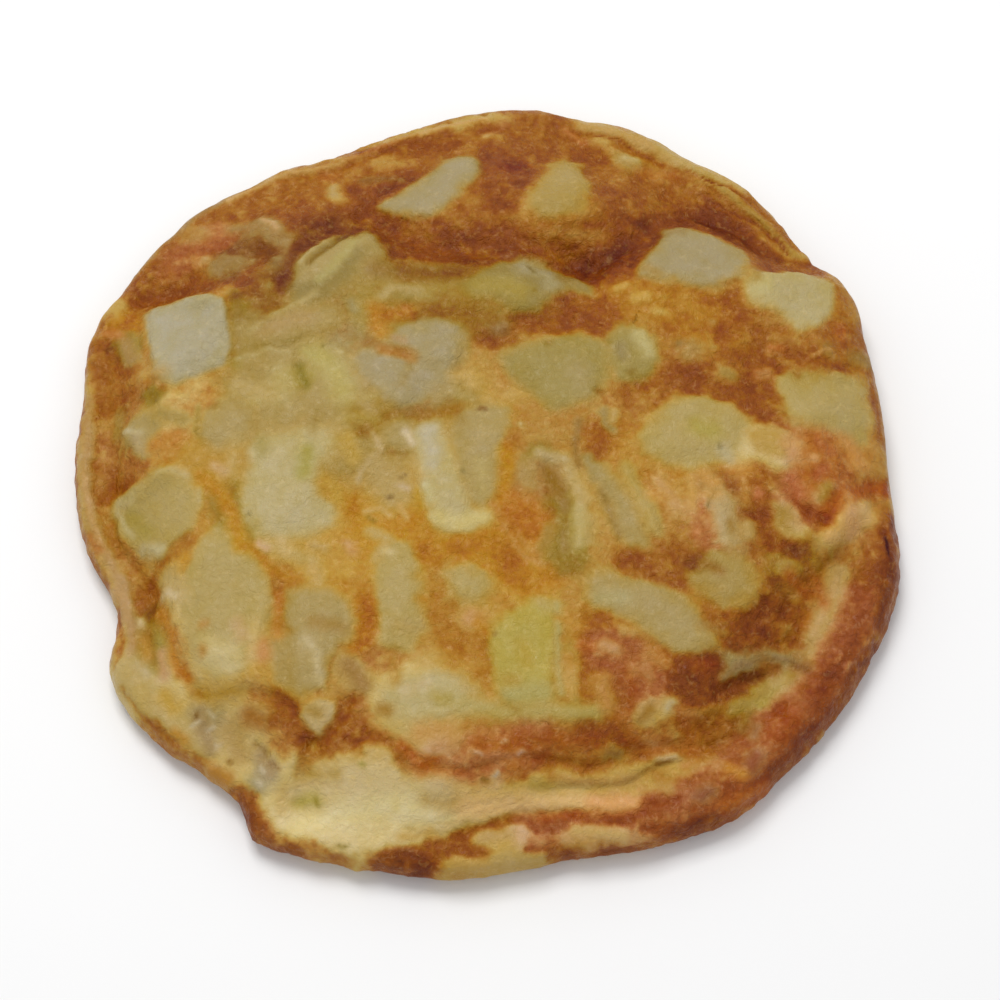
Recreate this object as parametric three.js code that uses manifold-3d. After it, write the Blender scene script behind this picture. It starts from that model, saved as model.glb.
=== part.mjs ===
// A potato omelette, about 18 cm across, lying on its flat underside.
// The egg is one solid with a rolled rim and a domed, folded top. The potato dice that
// reach the top each sit in a pocket of their own in it.
// Millimetres, +Z up, origin on the table under the middle of the omelette.
import * as THREE from "three";
import { mergeVertices } from "three/addons/utils/BufferGeometryUtils.js";
import Module from "manifold-3d";

const wasm = await Module();
wasm.setup();

// Driving sizes of the egg.
const CROWN_HEIGHT = 18; // top face above the table, just inside the rim
const DOME_RISE = 2; // how much higher the middle is
const EDGE_HEIGHT = 4; // height at which the rim reaches furthest out
const SWELL_HEIGHT = 0.7; // slow swells of the top face
const SWELL_LENGTH = 31; // from one swell to the next
const TURNS = 96; // facets round the rim

// Rings of the egg's mesh, as shares of the rim's radius: underside with its height, top face.
const UNDERSIDE_RINGS = [[0, 0], [0.5, 0], [0.87, 0], [0.945, 0.7], [0.985, 2.2]];
const TOP_RINGS = [1, 0.985, 0.96, 0.93, 0.895, 0.855, 0.81, 0.76, 0.7, 0.63, 0.55, 0.45, 0.32, 0.17, 0];

// Outline of the rim: angle in degrees, radius.
const RIM_RADII = [
  [0, 88.6], [10, 89.4], [20, 91], [28, 93.2], [35, 90.2], [48, 92.7], [60, 92], [70, 93.6],
  [76, 92], [84, 92.9], [97, 89.3], [110, 86.8], [124, 89.1], [140, 92.8], [152, 93.6],
  [160, 94.6], [170, 91], [182, 90.4], [193, 88.5], [201, 85.9], [205, 87.3], [210, 92.8],
  [224, 93.4], [231, 91], [236, 92], [240, 97.3], [252, 94.4], [262, 93.6], [280, 90.2],
  [292, 93], [303, 95.6], [316, 94.5], [334, 94.5], [345, 93.8], [352, 91],
];

// Section through the rim at an angle: width of the lip from edge to crest, its height above
// the edge, where the wall starts behind the edge, and the run over which it rises.
const RIM_SECTIONS = [
  [0, 4, 8.5, 2, 15],
  [30, 3.5, 8.5, 2, 14],
  [55, 5, 6, 7, 22],
  [90, 4, 6, 3, 30],
  [135, 4, 6, 3, 26],
  [165, 5, 6.5, 6, 18],
  [190, 5, 6, 8, 12],
  [225, 4, 5, 5, 20],
  [270, 4.5, 5.5, 7, 17],
  [290, 6, 6.5, 10, 16],
  [315, 9, 8.5, 16, 15],
  [335, 8, 8.5, 14, 13],
  [350, 5, 8.5, 4, 12],
];

// Folds that sink into the top face: how wide, how deep, and the path.
const FOLDS = [
  { width: 5, depth: 2.8, path: [[-76, 41], [-55, 46], [-38, 51], [-27, 58], [-12, 51], [2, 49], [20, 46]] },
  { width: 5, depth: 2.8, path: [[20, 46], [33, 52], [44, 61], [56, 58], [70, 51]] },
  { width: 5, depth: 2.5, path: [[86, -8], [78, -22], [71, -37], [63, -52], [50, -64], [32, -71]] },
  { width: 4, depth: 2.5, path: [[-34, -64], [-37, -78]] },
  { width: 4, depth: 2, path: [[-84, 22], [-83, 0], [-80, -18], [-73, -34], [-70, -44]] },
];

// Driving sizes of the potato dice.
const DICE_DEPTH = 9; // from its top face down, where the egg is thick enough
const SHALLOW = 6; // the same for small pieces near the rim
const EGG_BELOW = 3.5; // least egg between a die and the table
const DICE_PROUD = 0.6; // top face above the egg round it
const DICE_BEVEL = 1.2; // edges softened by cooking
const CORNER_SHARE = 0.3; // corner rounding, as a share of the narrower side
const POCKET_GAP = 0.3;
const CUTTER_ABOVE = 6; // how far a pocket's cutter reaches over the top face

const TONES = {
  white: 0xb0a886,
  pale: 0xb4a573,
  grey: 0xa49468,
  yellow: 0xac9956,
  green: 0xa7923f,
  tan: 0xa88d57,
};

// Potato dice: middle, length and width, turn in degrees, how much narrower the right end
// is than the left, how far the far side leans along the length, and the tone.
const DICE = [
  { at: [-64, 28], size: [18, 20], turn: -4, taper: 0.08, lean: -0.1, tone: "white" },
  { at: [-13, 67], size: [25, 9], turn: 30, taper: 0.1, lean: 0.2, tone: "grey" },
  { at: [-31, 45], size: [18, 12], turn: 48, taper: 0.3, lean: 0, tone: "yellow" },
  { at: [-40.5, 28], size: [20, 8], turn: 13, taper: 0.1, lean: 0.1, tone: "tan" },
  { at: [-11, 25], size: [13, 12], turn: -20, taper: 0.1, lean: 0, tone: "grey" },
  { at: [-22, 15], size: [13, 11], turn: -35, taper: 0, lean: 0.1, tone: "grey" },
  { at: [-56, 6], size: [12, 11], turn: 20, taper: 0, lean: 0, tone: "tan" },
  { at: [-73, 5], size: [11, 11], turn: -30, taper: 0.2, lean: 0, tone: "tan" },
  { at: [17, 65.5], size: [12.5, 13.5], turn: -15, taper: 0.1, lean: 0, tone: "pale" },
  { at: [47, 47], size: [22, 15], turn: -7, taper: 0, lean: 0.2, tone: "grey" },
  { at: [70, 37], size: [20, 14], turn: 6, taper: -0.15, lean: 0.1, tone: "pale" },
  { at: [73.5, 12], size: [19, 15], turn: 4, taper: 0, lean: 0, tone: "pale" },
  { at: [9, 40], size: [27, 13], turn: -8, taper: 0.15, lean: 0, tone: "yellow" },
  { at: [15, 17.5], size: [20, 17], turn: -25, taper: 0.1, lean: 0, tone: "green" },
  { at: [33, 22], size: [10, 13], turn: 5, taper: 0, lean: 0, tone: "yellow" },
  { at: [44.5, 5], size: [23, 16], turn: -5, taper: 0.15, lean: 0.1, tone: "yellow" },
  { at: [-69.5, -15], size: [19, 16], turn: 30, taper: -0.15, lean: 0, tone: "yellow" },
  { at: [-53.5, -35.5], size: [17, 26], turn: -3, taper: 0.05, lean: 0.1, tone: "yellow" },
  { at: [-41, -8.5], size: [17, 23], turn: 4, taper: 0.1, lean: 0, tone: "pale" },
  { at: [-9, -8], size: [13, 23], turn: 9, taper: 0.1, lean: 0, tone: "pale" },
  { at: [-17.5, -33.5], size: [9, 22], turn: 8, taper: 0, lean: 0, tone: "yellow" },
  { at: [-3, -32], size: [9, 9], turn: 30, taper: 0, lean: 0, tone: "yellow" },
  { at: [8.5, -49], size: [14, 21], turn: 2, taper: 0, lean: 0.1, tone: "green" },
  { at: [-10, -58], size: [18, 12], turn: 14, taper: 0.1, lean: 0, tone: "pale" },
  { at: [-35, -41], size: [12, 23], turn: 0, taper: 0.1, lean: 0, tone: "tan" },
  { at: [30.5, -12.5], size: [24, 8], turn: -57, taper: 0.1, lean: 0, tone: "yellow" },
  { at: [34, -37.5], size: [30, 11], turn: -24, taper: 0.15, lean: 0, tone: "pale" },
  { at: [51, -27], size: [13, 17], turn: 30, taper: 0.1, lean: 0, tone: "tan" },
  { at: [-46, -70.5], size: [8, 9], turn: 20, taper: 0, lean: 0, tone: "tan", depth: SHALLOW },
  { at: [-33, -61], size: [6.5, 8], turn: 0, taper: 0, lean: 0, tone: "tan", depth: SHALLOW },
  { at: [33, 73.5], size: [9, 8], turn: 10, taper: 0, lean: 0, tone: "tan", depth: SHALLOW },
  { at: [-58, 46], size: [11, 7], turn: 8, taper: 0, lean: 0, tone: "tan", depth: SHALLOW },
];

const DEGREES = Math.PI / 180;
const clamp = (value) => Math.min(1, Math.max(0, value));
const ease = (value) => clamp(value) ** 2 * (3 - 2 * clamp(value));

// Smooth closed curve through rows of [angle, value, ...], read at an angle in radians.
function aroundRim(rows, column, angle) {
  const turn = (angle / DEGREES + 720) % 360;
  const knot = (i) => {
    const wraps = Math.floor(i / rows.length);
    const row = rows[i - wraps * rows.length];
    return [row[0] + 360 * wraps, row[column]];
  };
  const last = rows.findLastIndex((row) => row[0] <= turn);
  const [[a0, v0], [a1, v1], [a2, v2], [a3, v3]] = [last - 1, last, last + 1, last + 2].map(knot);
  const span = a2 - a1;
  const t = (turn - a1) / span;
  const leaving = ((v2 - v0) / (a2 - a0)) * span;
  const arriving = ((v3 - v1) / (a3 - a1)) * span;
  return (
    v1 * (1 + 2 * t) * (1 - t) ** 2 +
    leaving * t * (1 - t) ** 2 +
    v2 * t ** 2 * (3 - 2 * t) -
    arriving * t ** 2 * (1 - t)
  );
}

function distanceToPath(x, y, path) {
  let nearest = Infinity;
  for (let i = 1; i < path.length; i++) {
    const [ax, ay] = path[i - 1];
    const [dx, dy] = [path[i][0] - ax, path[i][1] - ay];
    const along = clamp(((x - ax) * dx + (y - ay) * dy) / (dx ** 2 + dy ** 2));
    nearest = Math.min(nearest, Math.hypot(x - ax - along * dx, y - ay - along * dy));
  }
  return nearest;
}

// Slow swells that run across the top face in three directions, between about -1.5 and 1.5.
function swell(x, y) {
  const phase = (2 * Math.PI) / SWELL_LENGTH;
  return Math.sin(phase * x + 1) * Math.cos(0.8 * phase * y) + 0.6 * Math.sin(0.6 * phase * (x - y));
}

// Height of the egg's top face at a point.
function topHeight(x, y) {
  const angle = Math.atan2(y, x);
  const radius = aroundRim(RIM_RADII, 1, angle);
  const inside = radius - Math.hypot(x, y);
  const [lipWidth, lipHeight, wallStart, wallRun] = [1, 2, 3, 4].map((column) =>
    aroundRim(RIM_SECTIONS, column, angle),
  );
  const onLip = clamp(inside / lipWidth);
  const onWall = ease((inside - wallStart) / wallRun);
  const dome = DOME_RISE * (1 - (1 - inside / radius) ** 2);
  let z = EDGE_HEIGHT + lipHeight * Math.sqrt(1 - (1 - onLip) ** 2);
  z += (CROWN_HEIGHT - EDGE_HEIGHT - lipHeight + dome + SWELL_HEIGHT * swell(x, y)) * onWall;
  for (const { width, depth, path } of FOLDS) {
    z -= depth * Math.exp(-((distanceToPath(x, y, path) / width) ** 2)) * onLip;
  }
  return z;
}

// The egg: a turned profile whose rings are pushed out to the rim, and up to the top face.
function eggGeometry() {
  const profile = [
    ...UNDERSIDE_RINGS.map(([share, z]) => new THREE.Vector2(share, z)),
    ...TOP_RINGS.map((share) => new THREE.Vector2(share, CROWN_HEIGHT)),
  ];
  const geometry = new THREE.LatheGeometry(profile, TURNS).rotateX(Math.PI / 2);
  const points = geometry.attributes.position;
  for (let i = 0; i < points.count; i++) {
    const angle = Math.atan2(points.getY(i), points.getX(i));
    const reach = aroundRim(RIM_RADII, 1, angle) * Math.hypot(points.getX(i), points.getY(i));
    const x = reach * Math.cos(angle);
    const y = reach * Math.sin(angle);
    const isTop = points.getZ(i) > EDGE_HEIGHT;
    points.setXYZ(i, x, y, isTop ? topHeight(x, y) : points.getZ(i));
  }
  return geometry;
}

// Outline of a potato die seen from above: four sides with rounded corners.
function diceOutline({ size, taper, lean }, grown = 0) {
  const length = size[0] / 2 + grown;
  const width = size[1] / 2 + grown;
  const corners = [
    [-length, -width * (1 + taper)],
    [length, -width * (1 - taper)],
    [length + lean * width, width * (1 - taper)],
    [-length + lean * width, width * (1 + taper)],
  ].map(([x, y]) => new THREE.Vector2(x, y));
  const rounding = CORNER_SHARE * Math.min(...size);
  const towards = (from, to) => from.clone().add(to.clone().sub(from).setLength(rounding));
  const outline = new THREE.Shape();
  corners.forEach((corner, i) => {
    const before = towards(corner, corners[(i + 3) % 4]);
    const after = towards(corner, corners[(i + 1) % 4]);
    if (i === 0) outline.moveTo(before.x, before.y);
    else outline.lineTo(before.x, before.y);
    outline.quadraticCurveTo(corner.x, corner.y, after.x, after.y);
  });
  outline.closePath();
  return outline;
}

// How deep a die reaches under its own origin, which lies in its top face.
function diceDepth({ at, depth = DICE_DEPTH }) {
  return Math.min(depth, topHeight(...at) + DICE_PROUD - EGG_BELOW);
}

// The pan pressed egg and potato level, so a die's top face follows the egg's top face.
// Its sides are upright and its underside is level.
function diceGeometry(die, placed) {
  const depth = diceDepth(die);
  const geometry = new THREE.ExtrudeGeometry(diceOutline(die), {
    depth: depth - 2 * DICE_BEVEL,
    bevelSize: DICE_BEVEL,
    bevelThickness: DICE_BEVEL,
    bevelOffset: -DICE_BEVEL,
    bevelSegments: 1,
    curveSegments: 2,
  }).translate(0, 0, DICE_BEVEL - depth);
  const points = geometry.attributes.position;
  const point = new THREE.Vector3();
  for (let i = 0; i < points.count; i++) {
    point.fromBufferAttribute(points, i);
    if (point.z < -depth / 2) continue;
    const { x, y } = point.applyMatrix4(placed);
    points.setZ(i, points.getZ(i) + topHeight(x, y) - topHeight(...die.at));
  }
  return geometry;
}

// What is cut out of the egg for a die, open at the top.
function pocketGeometry(die, placed) {
  const depth = diceDepth(die) + POCKET_GAP;
  const straight = { depth: depth + CUTTER_ABOVE, bevelEnabled: false, curveSegments: 2 };
  return new THREE.ExtrudeGeometry(diceOutline(die, POCKET_GAP), straight)
    .translate(0, 0, -depth)
    .applyMatrix4(placed);
}

// A closed three.js geometry as a solid that can be cut, and back again.
function toSolid(geometry) {
  const bare = geometry.clone().deleteAttribute("normal").deleteAttribute("uv");
  const merged = mergeVertices(bare, 1e-3);
  return new wasm.Manifold(
    new wasm.Mesh({
      numProp: 3,
      vertProperties: merged.attributes.position.array,
      triVerts: new Uint32Array(merged.index.array),
    }),
  );
}

function toGeometry(solid) {
  const { vertProperties, triVerts } = solid.getMesh();
  const geometry = new THREE.BufferGeometry()
    .setAttribute("position", new THREE.BufferAttribute(vertProperties, 3))
    .setIndex(new THREE.BufferAttribute(triVerts, 1));
  geometry.computeVertexNormals();
  return geometry;
}

const omelette = new THREE.Group();

let eggSolid = toSolid(eggGeometry());
DICE.forEach((die, i) => {
  const potato = new THREE.Mesh();
  potato.name = `potato_${String(i + 1).padStart(2, "0")}`;
  potato.position.set(...die.at, topHeight(...die.at) + DICE_PROUD);
  potato.rotation.z = die.turn * DEGREES;
  potato.updateMatrix();
  potato.geometry = diceGeometry(die, potato.matrix);
  potato.material = new THREE.MeshStandardMaterial({ color: TONES[die.tone], roughness: 0.45, metalness: 0 });
  omelette.add(potato);
  eggSolid = eggSolid.subtract(toSolid(pocketGeometry(die, potato.matrix)));
});

const egg = new THREE.Mesh(toGeometry(eggSolid));
egg.name = "egg";
egg.material = new THREE.MeshStandardMaterial({ color: 0xb0702e, roughness: 0.55, metalness: 0 });
omelette.add(egg);

export default omelette;
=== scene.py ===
import math
import bpy
import numpy as np
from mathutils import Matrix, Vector
from mathutils.bvhtree import BVHTree
from mathutils.geometry import convex_hull_2d


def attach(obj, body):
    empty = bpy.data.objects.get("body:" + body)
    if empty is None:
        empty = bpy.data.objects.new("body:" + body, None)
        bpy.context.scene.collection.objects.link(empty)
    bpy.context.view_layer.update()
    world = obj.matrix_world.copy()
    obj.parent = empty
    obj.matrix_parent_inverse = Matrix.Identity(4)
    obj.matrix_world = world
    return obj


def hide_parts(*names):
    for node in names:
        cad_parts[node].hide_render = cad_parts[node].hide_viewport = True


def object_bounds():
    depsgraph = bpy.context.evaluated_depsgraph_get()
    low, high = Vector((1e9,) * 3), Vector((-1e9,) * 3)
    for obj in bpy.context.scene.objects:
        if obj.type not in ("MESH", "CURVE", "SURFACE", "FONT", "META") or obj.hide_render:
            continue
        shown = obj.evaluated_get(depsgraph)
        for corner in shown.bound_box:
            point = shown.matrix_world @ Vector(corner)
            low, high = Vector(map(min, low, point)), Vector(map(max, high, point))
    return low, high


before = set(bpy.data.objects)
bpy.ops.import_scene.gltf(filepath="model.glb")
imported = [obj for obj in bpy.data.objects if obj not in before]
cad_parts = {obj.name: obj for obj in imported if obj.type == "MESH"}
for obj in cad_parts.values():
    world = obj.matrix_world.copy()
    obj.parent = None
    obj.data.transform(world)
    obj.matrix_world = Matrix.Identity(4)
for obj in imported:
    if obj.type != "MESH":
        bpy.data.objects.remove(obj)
cad_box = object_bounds()
MM = 0.001   # metres


# ---------------------------------------------------------------------------------------
# Table and studio.
# A plain white table under a broad soft lamp, seen from high in front, as food is shot.
# ---------------------------------------------------------------------------------------

scene = bpy.context.scene
scene.view_settings.view_transform = "Standard"
scene.view_settings.look = "None"
scene.view_settings.exposure = 0.0

TABLE_WHITE = "#f4f4f3"
TABLE_SIZE = 6.0
ROOM_WHITE = "#fdfdff"
ROOM_LIGHT = 0.64
LAMP_POWER = 5.4                # watts
LAMP_SIZE = 0.45
LAMP_PLACE = (-0.15, 0.35, 0.9)


def linear(hex_colour, alpha=1.0):
    """An sRGB hex colour as linear red, green, blue and alpha."""
    parts = [int(hex_colour[i:i + 2], 16) / 255 for i in (1, 3, 5)]
    values = [p / 12.92 if p <= 0.04045 else ((p + 0.055) / 1.055) ** 2.4 for p in parts]
    return (*values, alpha)


def add(tree, kind, inputs=None, **settings):
    """Adds a node with its settings. Each input is given a value or linked to an output."""
    made = tree.nodes.new(kind)
    for name, value in settings.items():
        setattr(made, name, value)
    for name, value in (inputs or {}).items():
        if isinstance(value, bpy.types.NodeSocket):
            tree.links.new(value, made.inputs[name])
        else:
            made.inputs[name].default_value = value
    return made


bpy.ops.object.select_all(action="DESELECT")
bpy.ops.mesh.primitive_plane_add(size=TABLE_SIZE, location=(0, 0, 0))
table = bpy.context.object
table.name = "table"

# Matt laminate: flat white with a barely uneven sheen.
laminate = bpy.data.materials.new("white table laminate")
laminate.use_nodes = True
tree = laminate.node_tree
surface = tree.nodes["Principled BSDF"]
where = add(tree, "ShaderNodeTexCoord")
grit = add(tree, "ShaderNodeTexNoise", {"Vector": where.outputs["Object"], "Scale": 90.0})
sheen = add(tree, "ShaderNodeMapRange", {"Value": grit.outputs["Fac"], "To Min": 0.7, "To Max": 0.85})
tree.links.new(sheen.outputs["Result"], surface.inputs["Roughness"])
surface.inputs["Base Color"].default_value = linear(TABLE_WHITE)
surface.inputs["Specular IOR Level"].default_value = 0.2
table.data.materials.append(laminate)

world = bpy.data.worlds.new("studio")
world.use_nodes = True
world.node_tree.nodes["Background"].inputs["Color"].default_value = linear(ROOM_WHITE)
world.node_tree.nodes["Background"].inputs["Strength"].default_value = ROOM_LIGHT
scene.world = world

bpy.ops.object.light_add(type="AREA", location=LAMP_PLACE)
lamp = bpy.context.object
lamp.name = "soft_lamp"
lamp.data.shape = "SQUARE"
lamp.data.size = LAMP_SIZE
lamp.data.energy = LAMP_POWER
lamp.rotation_euler = (-Vector(lamp.location)).to_track_quat("-Z", "Y").to_euler()

# The camera looks down from the near side. It aims a little right of the middle and nearer.
CAMERA_TILT = 66.0              # degrees above the table
CAMERA_AWAY = 0.62
CAMERA_LENS = 102.7             # mm, with a frame 36 mm wide
AIM_RIGHT = 3.34 * MM
AIM_NEARER = 7.84 * MM
AIM_HEIGHT = 8 * MM

low, high = cad_box
aim = Vector(((low.x + high.x) / 2 + AIM_RIGHT, (low.y + high.y) / 2 - AIM_NEARER, AIM_HEIGHT))
tilt = math.radians(CAMERA_TILT)
away = Vector((0, -math.cos(tilt), math.sin(tilt))) * CAMERA_AWAY
bpy.ops.object.camera_add(location=aim + away)
camera = bpy.context.object
camera.rotation_euler = (math.pi / 2 - tilt, 0, 0)
camera.data.sensor_width = 36.0
camera.data.lens = CAMERA_LENS
camera.data.dof.use_dof = False
scene.camera = camera


# ---------------------------------------------------------------------------------------
# The egg.
# Beaten egg set round the potato and fried until the top browned in patches. It is one soft
# piece with a rolled rim, folded where it slid in the pan and flaky where it browned.
# ---------------------------------------------------------------------------------------

DICE = sorted(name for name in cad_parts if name.startswith("potato_"))
EGG_MESH = 0.685 * MM           # fine enough for the wrinkles of the browned skin
FILLING_GROWTH = 0.35 * MM      # a die's copy grows by more than the gap round it, and fuses
SEAM_PASSES = 26                # of smoothing, until no seam shows where a die was fused
UNDERSIDE_KEPT = 0.05           # share of the underside's fine faces that is enough there


def pick(*pieces):
    """Selects only these pieces. The last one is the active one."""
    bpy.ops.object.select_all(action="DESELECT")
    for piece in pieces:
        piece.select_set(True)
    bpy.context.view_layer.objects.active = pieces[-1]


def loose_copy(node, name):
    """A copy of a part of the frame, its seams merged."""
    piece = bpy.data.objects.new(name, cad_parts[node].data.copy())
    scene.collection.objects.link(piece)
    piece.data.materials.clear()
    pick(piece)
    bpy.ops.object.mode_set(mode="EDIT")
    bpy.ops.mesh.select_all(action="SELECT")
    bpy.ops.mesh.remove_doubles(threshold=0.01 * MM)
    bpy.ops.object.mode_set(mode="OBJECT")
    return piece


def modify(piece, kind, **settings):
    """Adds a modifier with its settings and applies it."""
    pick(piece)
    modifier = piece.modifiers.new(kind.lower(), kind)
    for name, value in settings.items():
        setattr(modifier, name, value)
    bpy.ops.object.modifier_apply(modifier=modifier.name)


def places(piece):
    """The vertices of a piece, in millimetres."""
    flat = np.empty(len(piece.data.vertices) * 3)
    piece.data.vertices.foreach_get("co", flat)
    return flat.reshape(-1, 3) / MM


def directions(piece):
    """The outward direction at each vertex."""
    flat = np.empty(len(piece.data.vertices) * 3)
    piece.data.vertices.foreach_get("normal", flat)
    return flat.reshape(-1, 3)


def put(piece, points):
    """Moves the vertices of a piece to these places, in millimetres."""
    piece.data.vertices.foreach_set("co", (points * MM).ravel())
    piece.data.update()


def soft(value):
    """A smooth step from 0 to 1."""
    value = np.clip(value, 0.0, 1.0)
    return value * value * (3 - 2 * value)


def grain(points, size, seed):
    """Smooth unevenness from -1 to 1 with features about size mm across."""
    lattice = np.random.default_rng(seed).uniform(-1, 1, (32, 32, 32))
    cell, part = np.divmod(points / size, 1)
    cell = cell.astype(int)
    part = part * part * (3 - 2 * part)
    total = 0.0
    for corner in np.ndindex(2, 2, 2):
        share = np.prod(np.where(corner, part, 1 - part), axis=1)
        total = total + share * lattice[tuple(((cell + corner) % 32).T)]
    return total


def layered(points, *layers):
    """Unevenness of several sizes together. A layer is its strength, its size in mm and a seed."""
    return sum(strength * grain(points, size, seed) for strength, size, seed in layers)


def beyond(path, points):
    """Distance in plan from each point to a path, in mm. A path that ends where it starts is
    an area, and the distance is negative inside it."""
    nearest = np.full(len(points), 1e9)
    inside = np.zeros(len(points), bool)
    for start, end in zip(path, path[1:] or path):
        offset = points[:, :2] - start
        run = np.subtract(end, start)
        along = np.clip(offset @ run / max(run @ run, 1e-9), 0, 1)
        nearest = np.minimum(nearest, np.hypot(*(offset - along[:, None] * run).T))
        if run[1]:
            level = offset[:, 1] / run[1]
            inside ^= (level >= 0) & (level < 1) & (offset[:, 0] < level * run[0])
    return np.where(inside & (len(path) > 2 and path[0] == path[-1]), -nearest, nearest)


def cover(patch, points):
    """How much a patch covers each point, from 0 to 1: it ends width mm off its path and
    fades over fade mm there."""
    width, fade, path = patch
    spots = np.array(path, float)
    reach = width + fade
    plan = points[:, :2]
    near = np.all((plan > spots.min(0) - reach) & (plan < spots.max(0) + reach), axis=1)
    share = np.zeros(len(points))
    share[near] = soft(0.5 + (width - beyond(path, points[near])) / fade)
    return share


def outline_of(node):
    """The outline of a part of the frame in plan, in millimetres, closed."""
    corners = [vertex.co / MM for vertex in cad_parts[node].data.vertices]
    spots = sorted({(round(corner.x, 2), round(corner.y, 2)) for corner in corners})
    ring = [spots[i] for i in convex_hull_2d([Vector(spot) for spot in spots])]
    return ring + ring[:1]


OUTLINES = {node: outline_of(node) for node in DICE}

# The egg and the dice are fused into one skin, then the seams between them are smoothed away.
egg = loose_copy("egg", "omelette_egg")
fillings = []
for node in DICE:
    filling = loose_copy(node, "filling")
    modify(filling, "DISPLACE", strength=FILLING_GROWTH, mid_level=0.0)
    fillings.append(filling)
pick(*fillings, egg)
bpy.ops.object.join()
egg.data.remesh_voxel_size = EGG_MESH
bpy.ops.object.voxel_remesh()
modify(egg, "SMOOTH", factor=0.5, iterations=SEAM_PASSES)

# The flat underside needs little detail, so its mesh is thinned.
points = places(egg)
below = np.flatnonzero((directions(egg)[:, 2] < -0.7) & (points[:, 2] < 1.5))
egg.vertex_groups.new(name="underside").add(below.tolist(), 1.0, "REPLACE")
faces = len(egg.data.polygons)
kept = (faces - (1 - UNDERSIDE_KEPT) * len(below)) / faces
modify(egg, "DECIMATE", ratio=kept, vertex_group="underside")
egg.vertex_groups.clear()

# The egg under the browning, before the pan coloured it, and where it climbs a piece.
EGG_TONE = "#c3a667"
HALO_TONE = "#c8a048"

# Patches where the egg itself is another colour, and a few of painted shade: colour, half-width, fade,
# path, all in mm.
# A path that ends where it starts is filled.
GROUND_PATCHES = [
    ("#c4a256", 12, 8, [(-36, -14), (-30, -26), (-24, -36)]),
    ("#c4a256", 7, 6, [(-62, -4), (-55, -16), (-50, -26)]),
    ("#c6a04c", 9, 7, [(-20, -20), (-4, -24), (8, -30)]),
    ("#c2a058", 10, 7, [(-6, -38), (4, -50), (12, -52), (20, -46)]),
    ("#c4a35c", 6, 6, [(-50, -54), (-44, -56)]),
    ("#c2a152", 6, 6, [(-70, -50), (-62, -56)]),
    ("#c6a65e", 7, 6, [(30, 0), (40, -7), (54, -6)]),
    ("#bfa060", 6, 5, [(4, 20), (10, 12), (11, 2), (6, -8)]),
    ("#c3a156", 8, 6, [(30, 36), (40, 36), (50, 30)]),
    ("#c6a04c", 4, 5, [(-79, 34)]),
    ("#b89a58", 6, 6, [(-70, 10), (-58, 12)]),
    ("#a9935a", 15, 8, [(-34, 44), (-40, 30), (-38, 14), (-46, 6), (-28, 6)]),
    ("#a8904e", 10, 6, [(-20, 32), (0, 36)]),
    ("#a48a48", 6, 5, [(-24, 8), (-6, 9)]),
    ("#ac9c72", 7, 4, [(-28, 22), (-14, 14)]),
    ("#cfb97f", 12, 6, [(-70, -44), (-64, -58), (-50, -68)]),
    ("#d0ba80", 10, 6, [(-38, -82), (-20, -82)]),
    ("#c9ac68", 9, 6, [(0, -78), (20, -74), (40, -69)]),
    ("#cfb97f", 9, 5, [(-66, 10), (-76, 4)]),
    ("#cfb97f", 7, 5, [(-22, -50), (-16, -58)]),
    ("#c9ac72", 5, 4, [(80, 4), (82, -12), (76, -32), (70, -42)]),
    ("#cfb97f", 5, 4, [(56, 0), (64, -2)]),
    ("#ac9c72", 4, 3, [(-57, 46), (-50, 57), (-45, 48)]),
    ("#ac9c72", 4, 3, [(-58, -59)]),
    ("#ac9c72", 4, 3, [(-46, -71)]),
    ("#a39049", 3, 3, [(-72, 12.5)]),
    ("#a39049", 3, 3, [(-40, 16)]),
    # Painted shadow: an olive line down the right side of the white die.
    ("#a39049", 4, 3, [(-55, 32), (-54, 22)]),
    ("#a39049", 4, 3, [(-79, 28)]),
    ("#a39049", 4, 3, [(12, -4), (18, -18), (18, -27)]),
    ("#a39049", 4, 3, [(-56, -12), (-52, -20)]),
    # Painted shade: an olive line in the crease near the left rim.
    ("#a39049", 4, 3, [(-71, -38), (-71, -46)]),
    ("#b7a45a", 4, 3, [(67, -48), (56, -58)]),
    ("#b7a45a", 4, 3, [(63, -28), (72, -23)]),
    ("#ac9c72", 3, 3, [(48, -49), (66, -47)]),
    ("#b79b6c", 5, 3, [(14, -8), (9, -10)]),
    ("#b79b6c", 6, 4, [(50, -12), (53, -22)]),
    ("#cfac86", 6, 4, [(68, 0), (75, 0), (68, -12)]),
    ("#cfac86", 5, 4, [(26, -46), (34, -54)]),
    ("#cfac86", 5, 3, [(-10, -72), (10, -67)]),
    ("#cfac86", 4, 3, [(46, -16), (48, -22)]),
    ("#cfac86", 5, 3, [(10, -83), (20, -81), (38, -80), (46, -76), (60, -64), (74, -48), (80, -34)]),
    ("#cfac86", 4, 3, [(-70, 50), (-60, 56)]),
]
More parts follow.
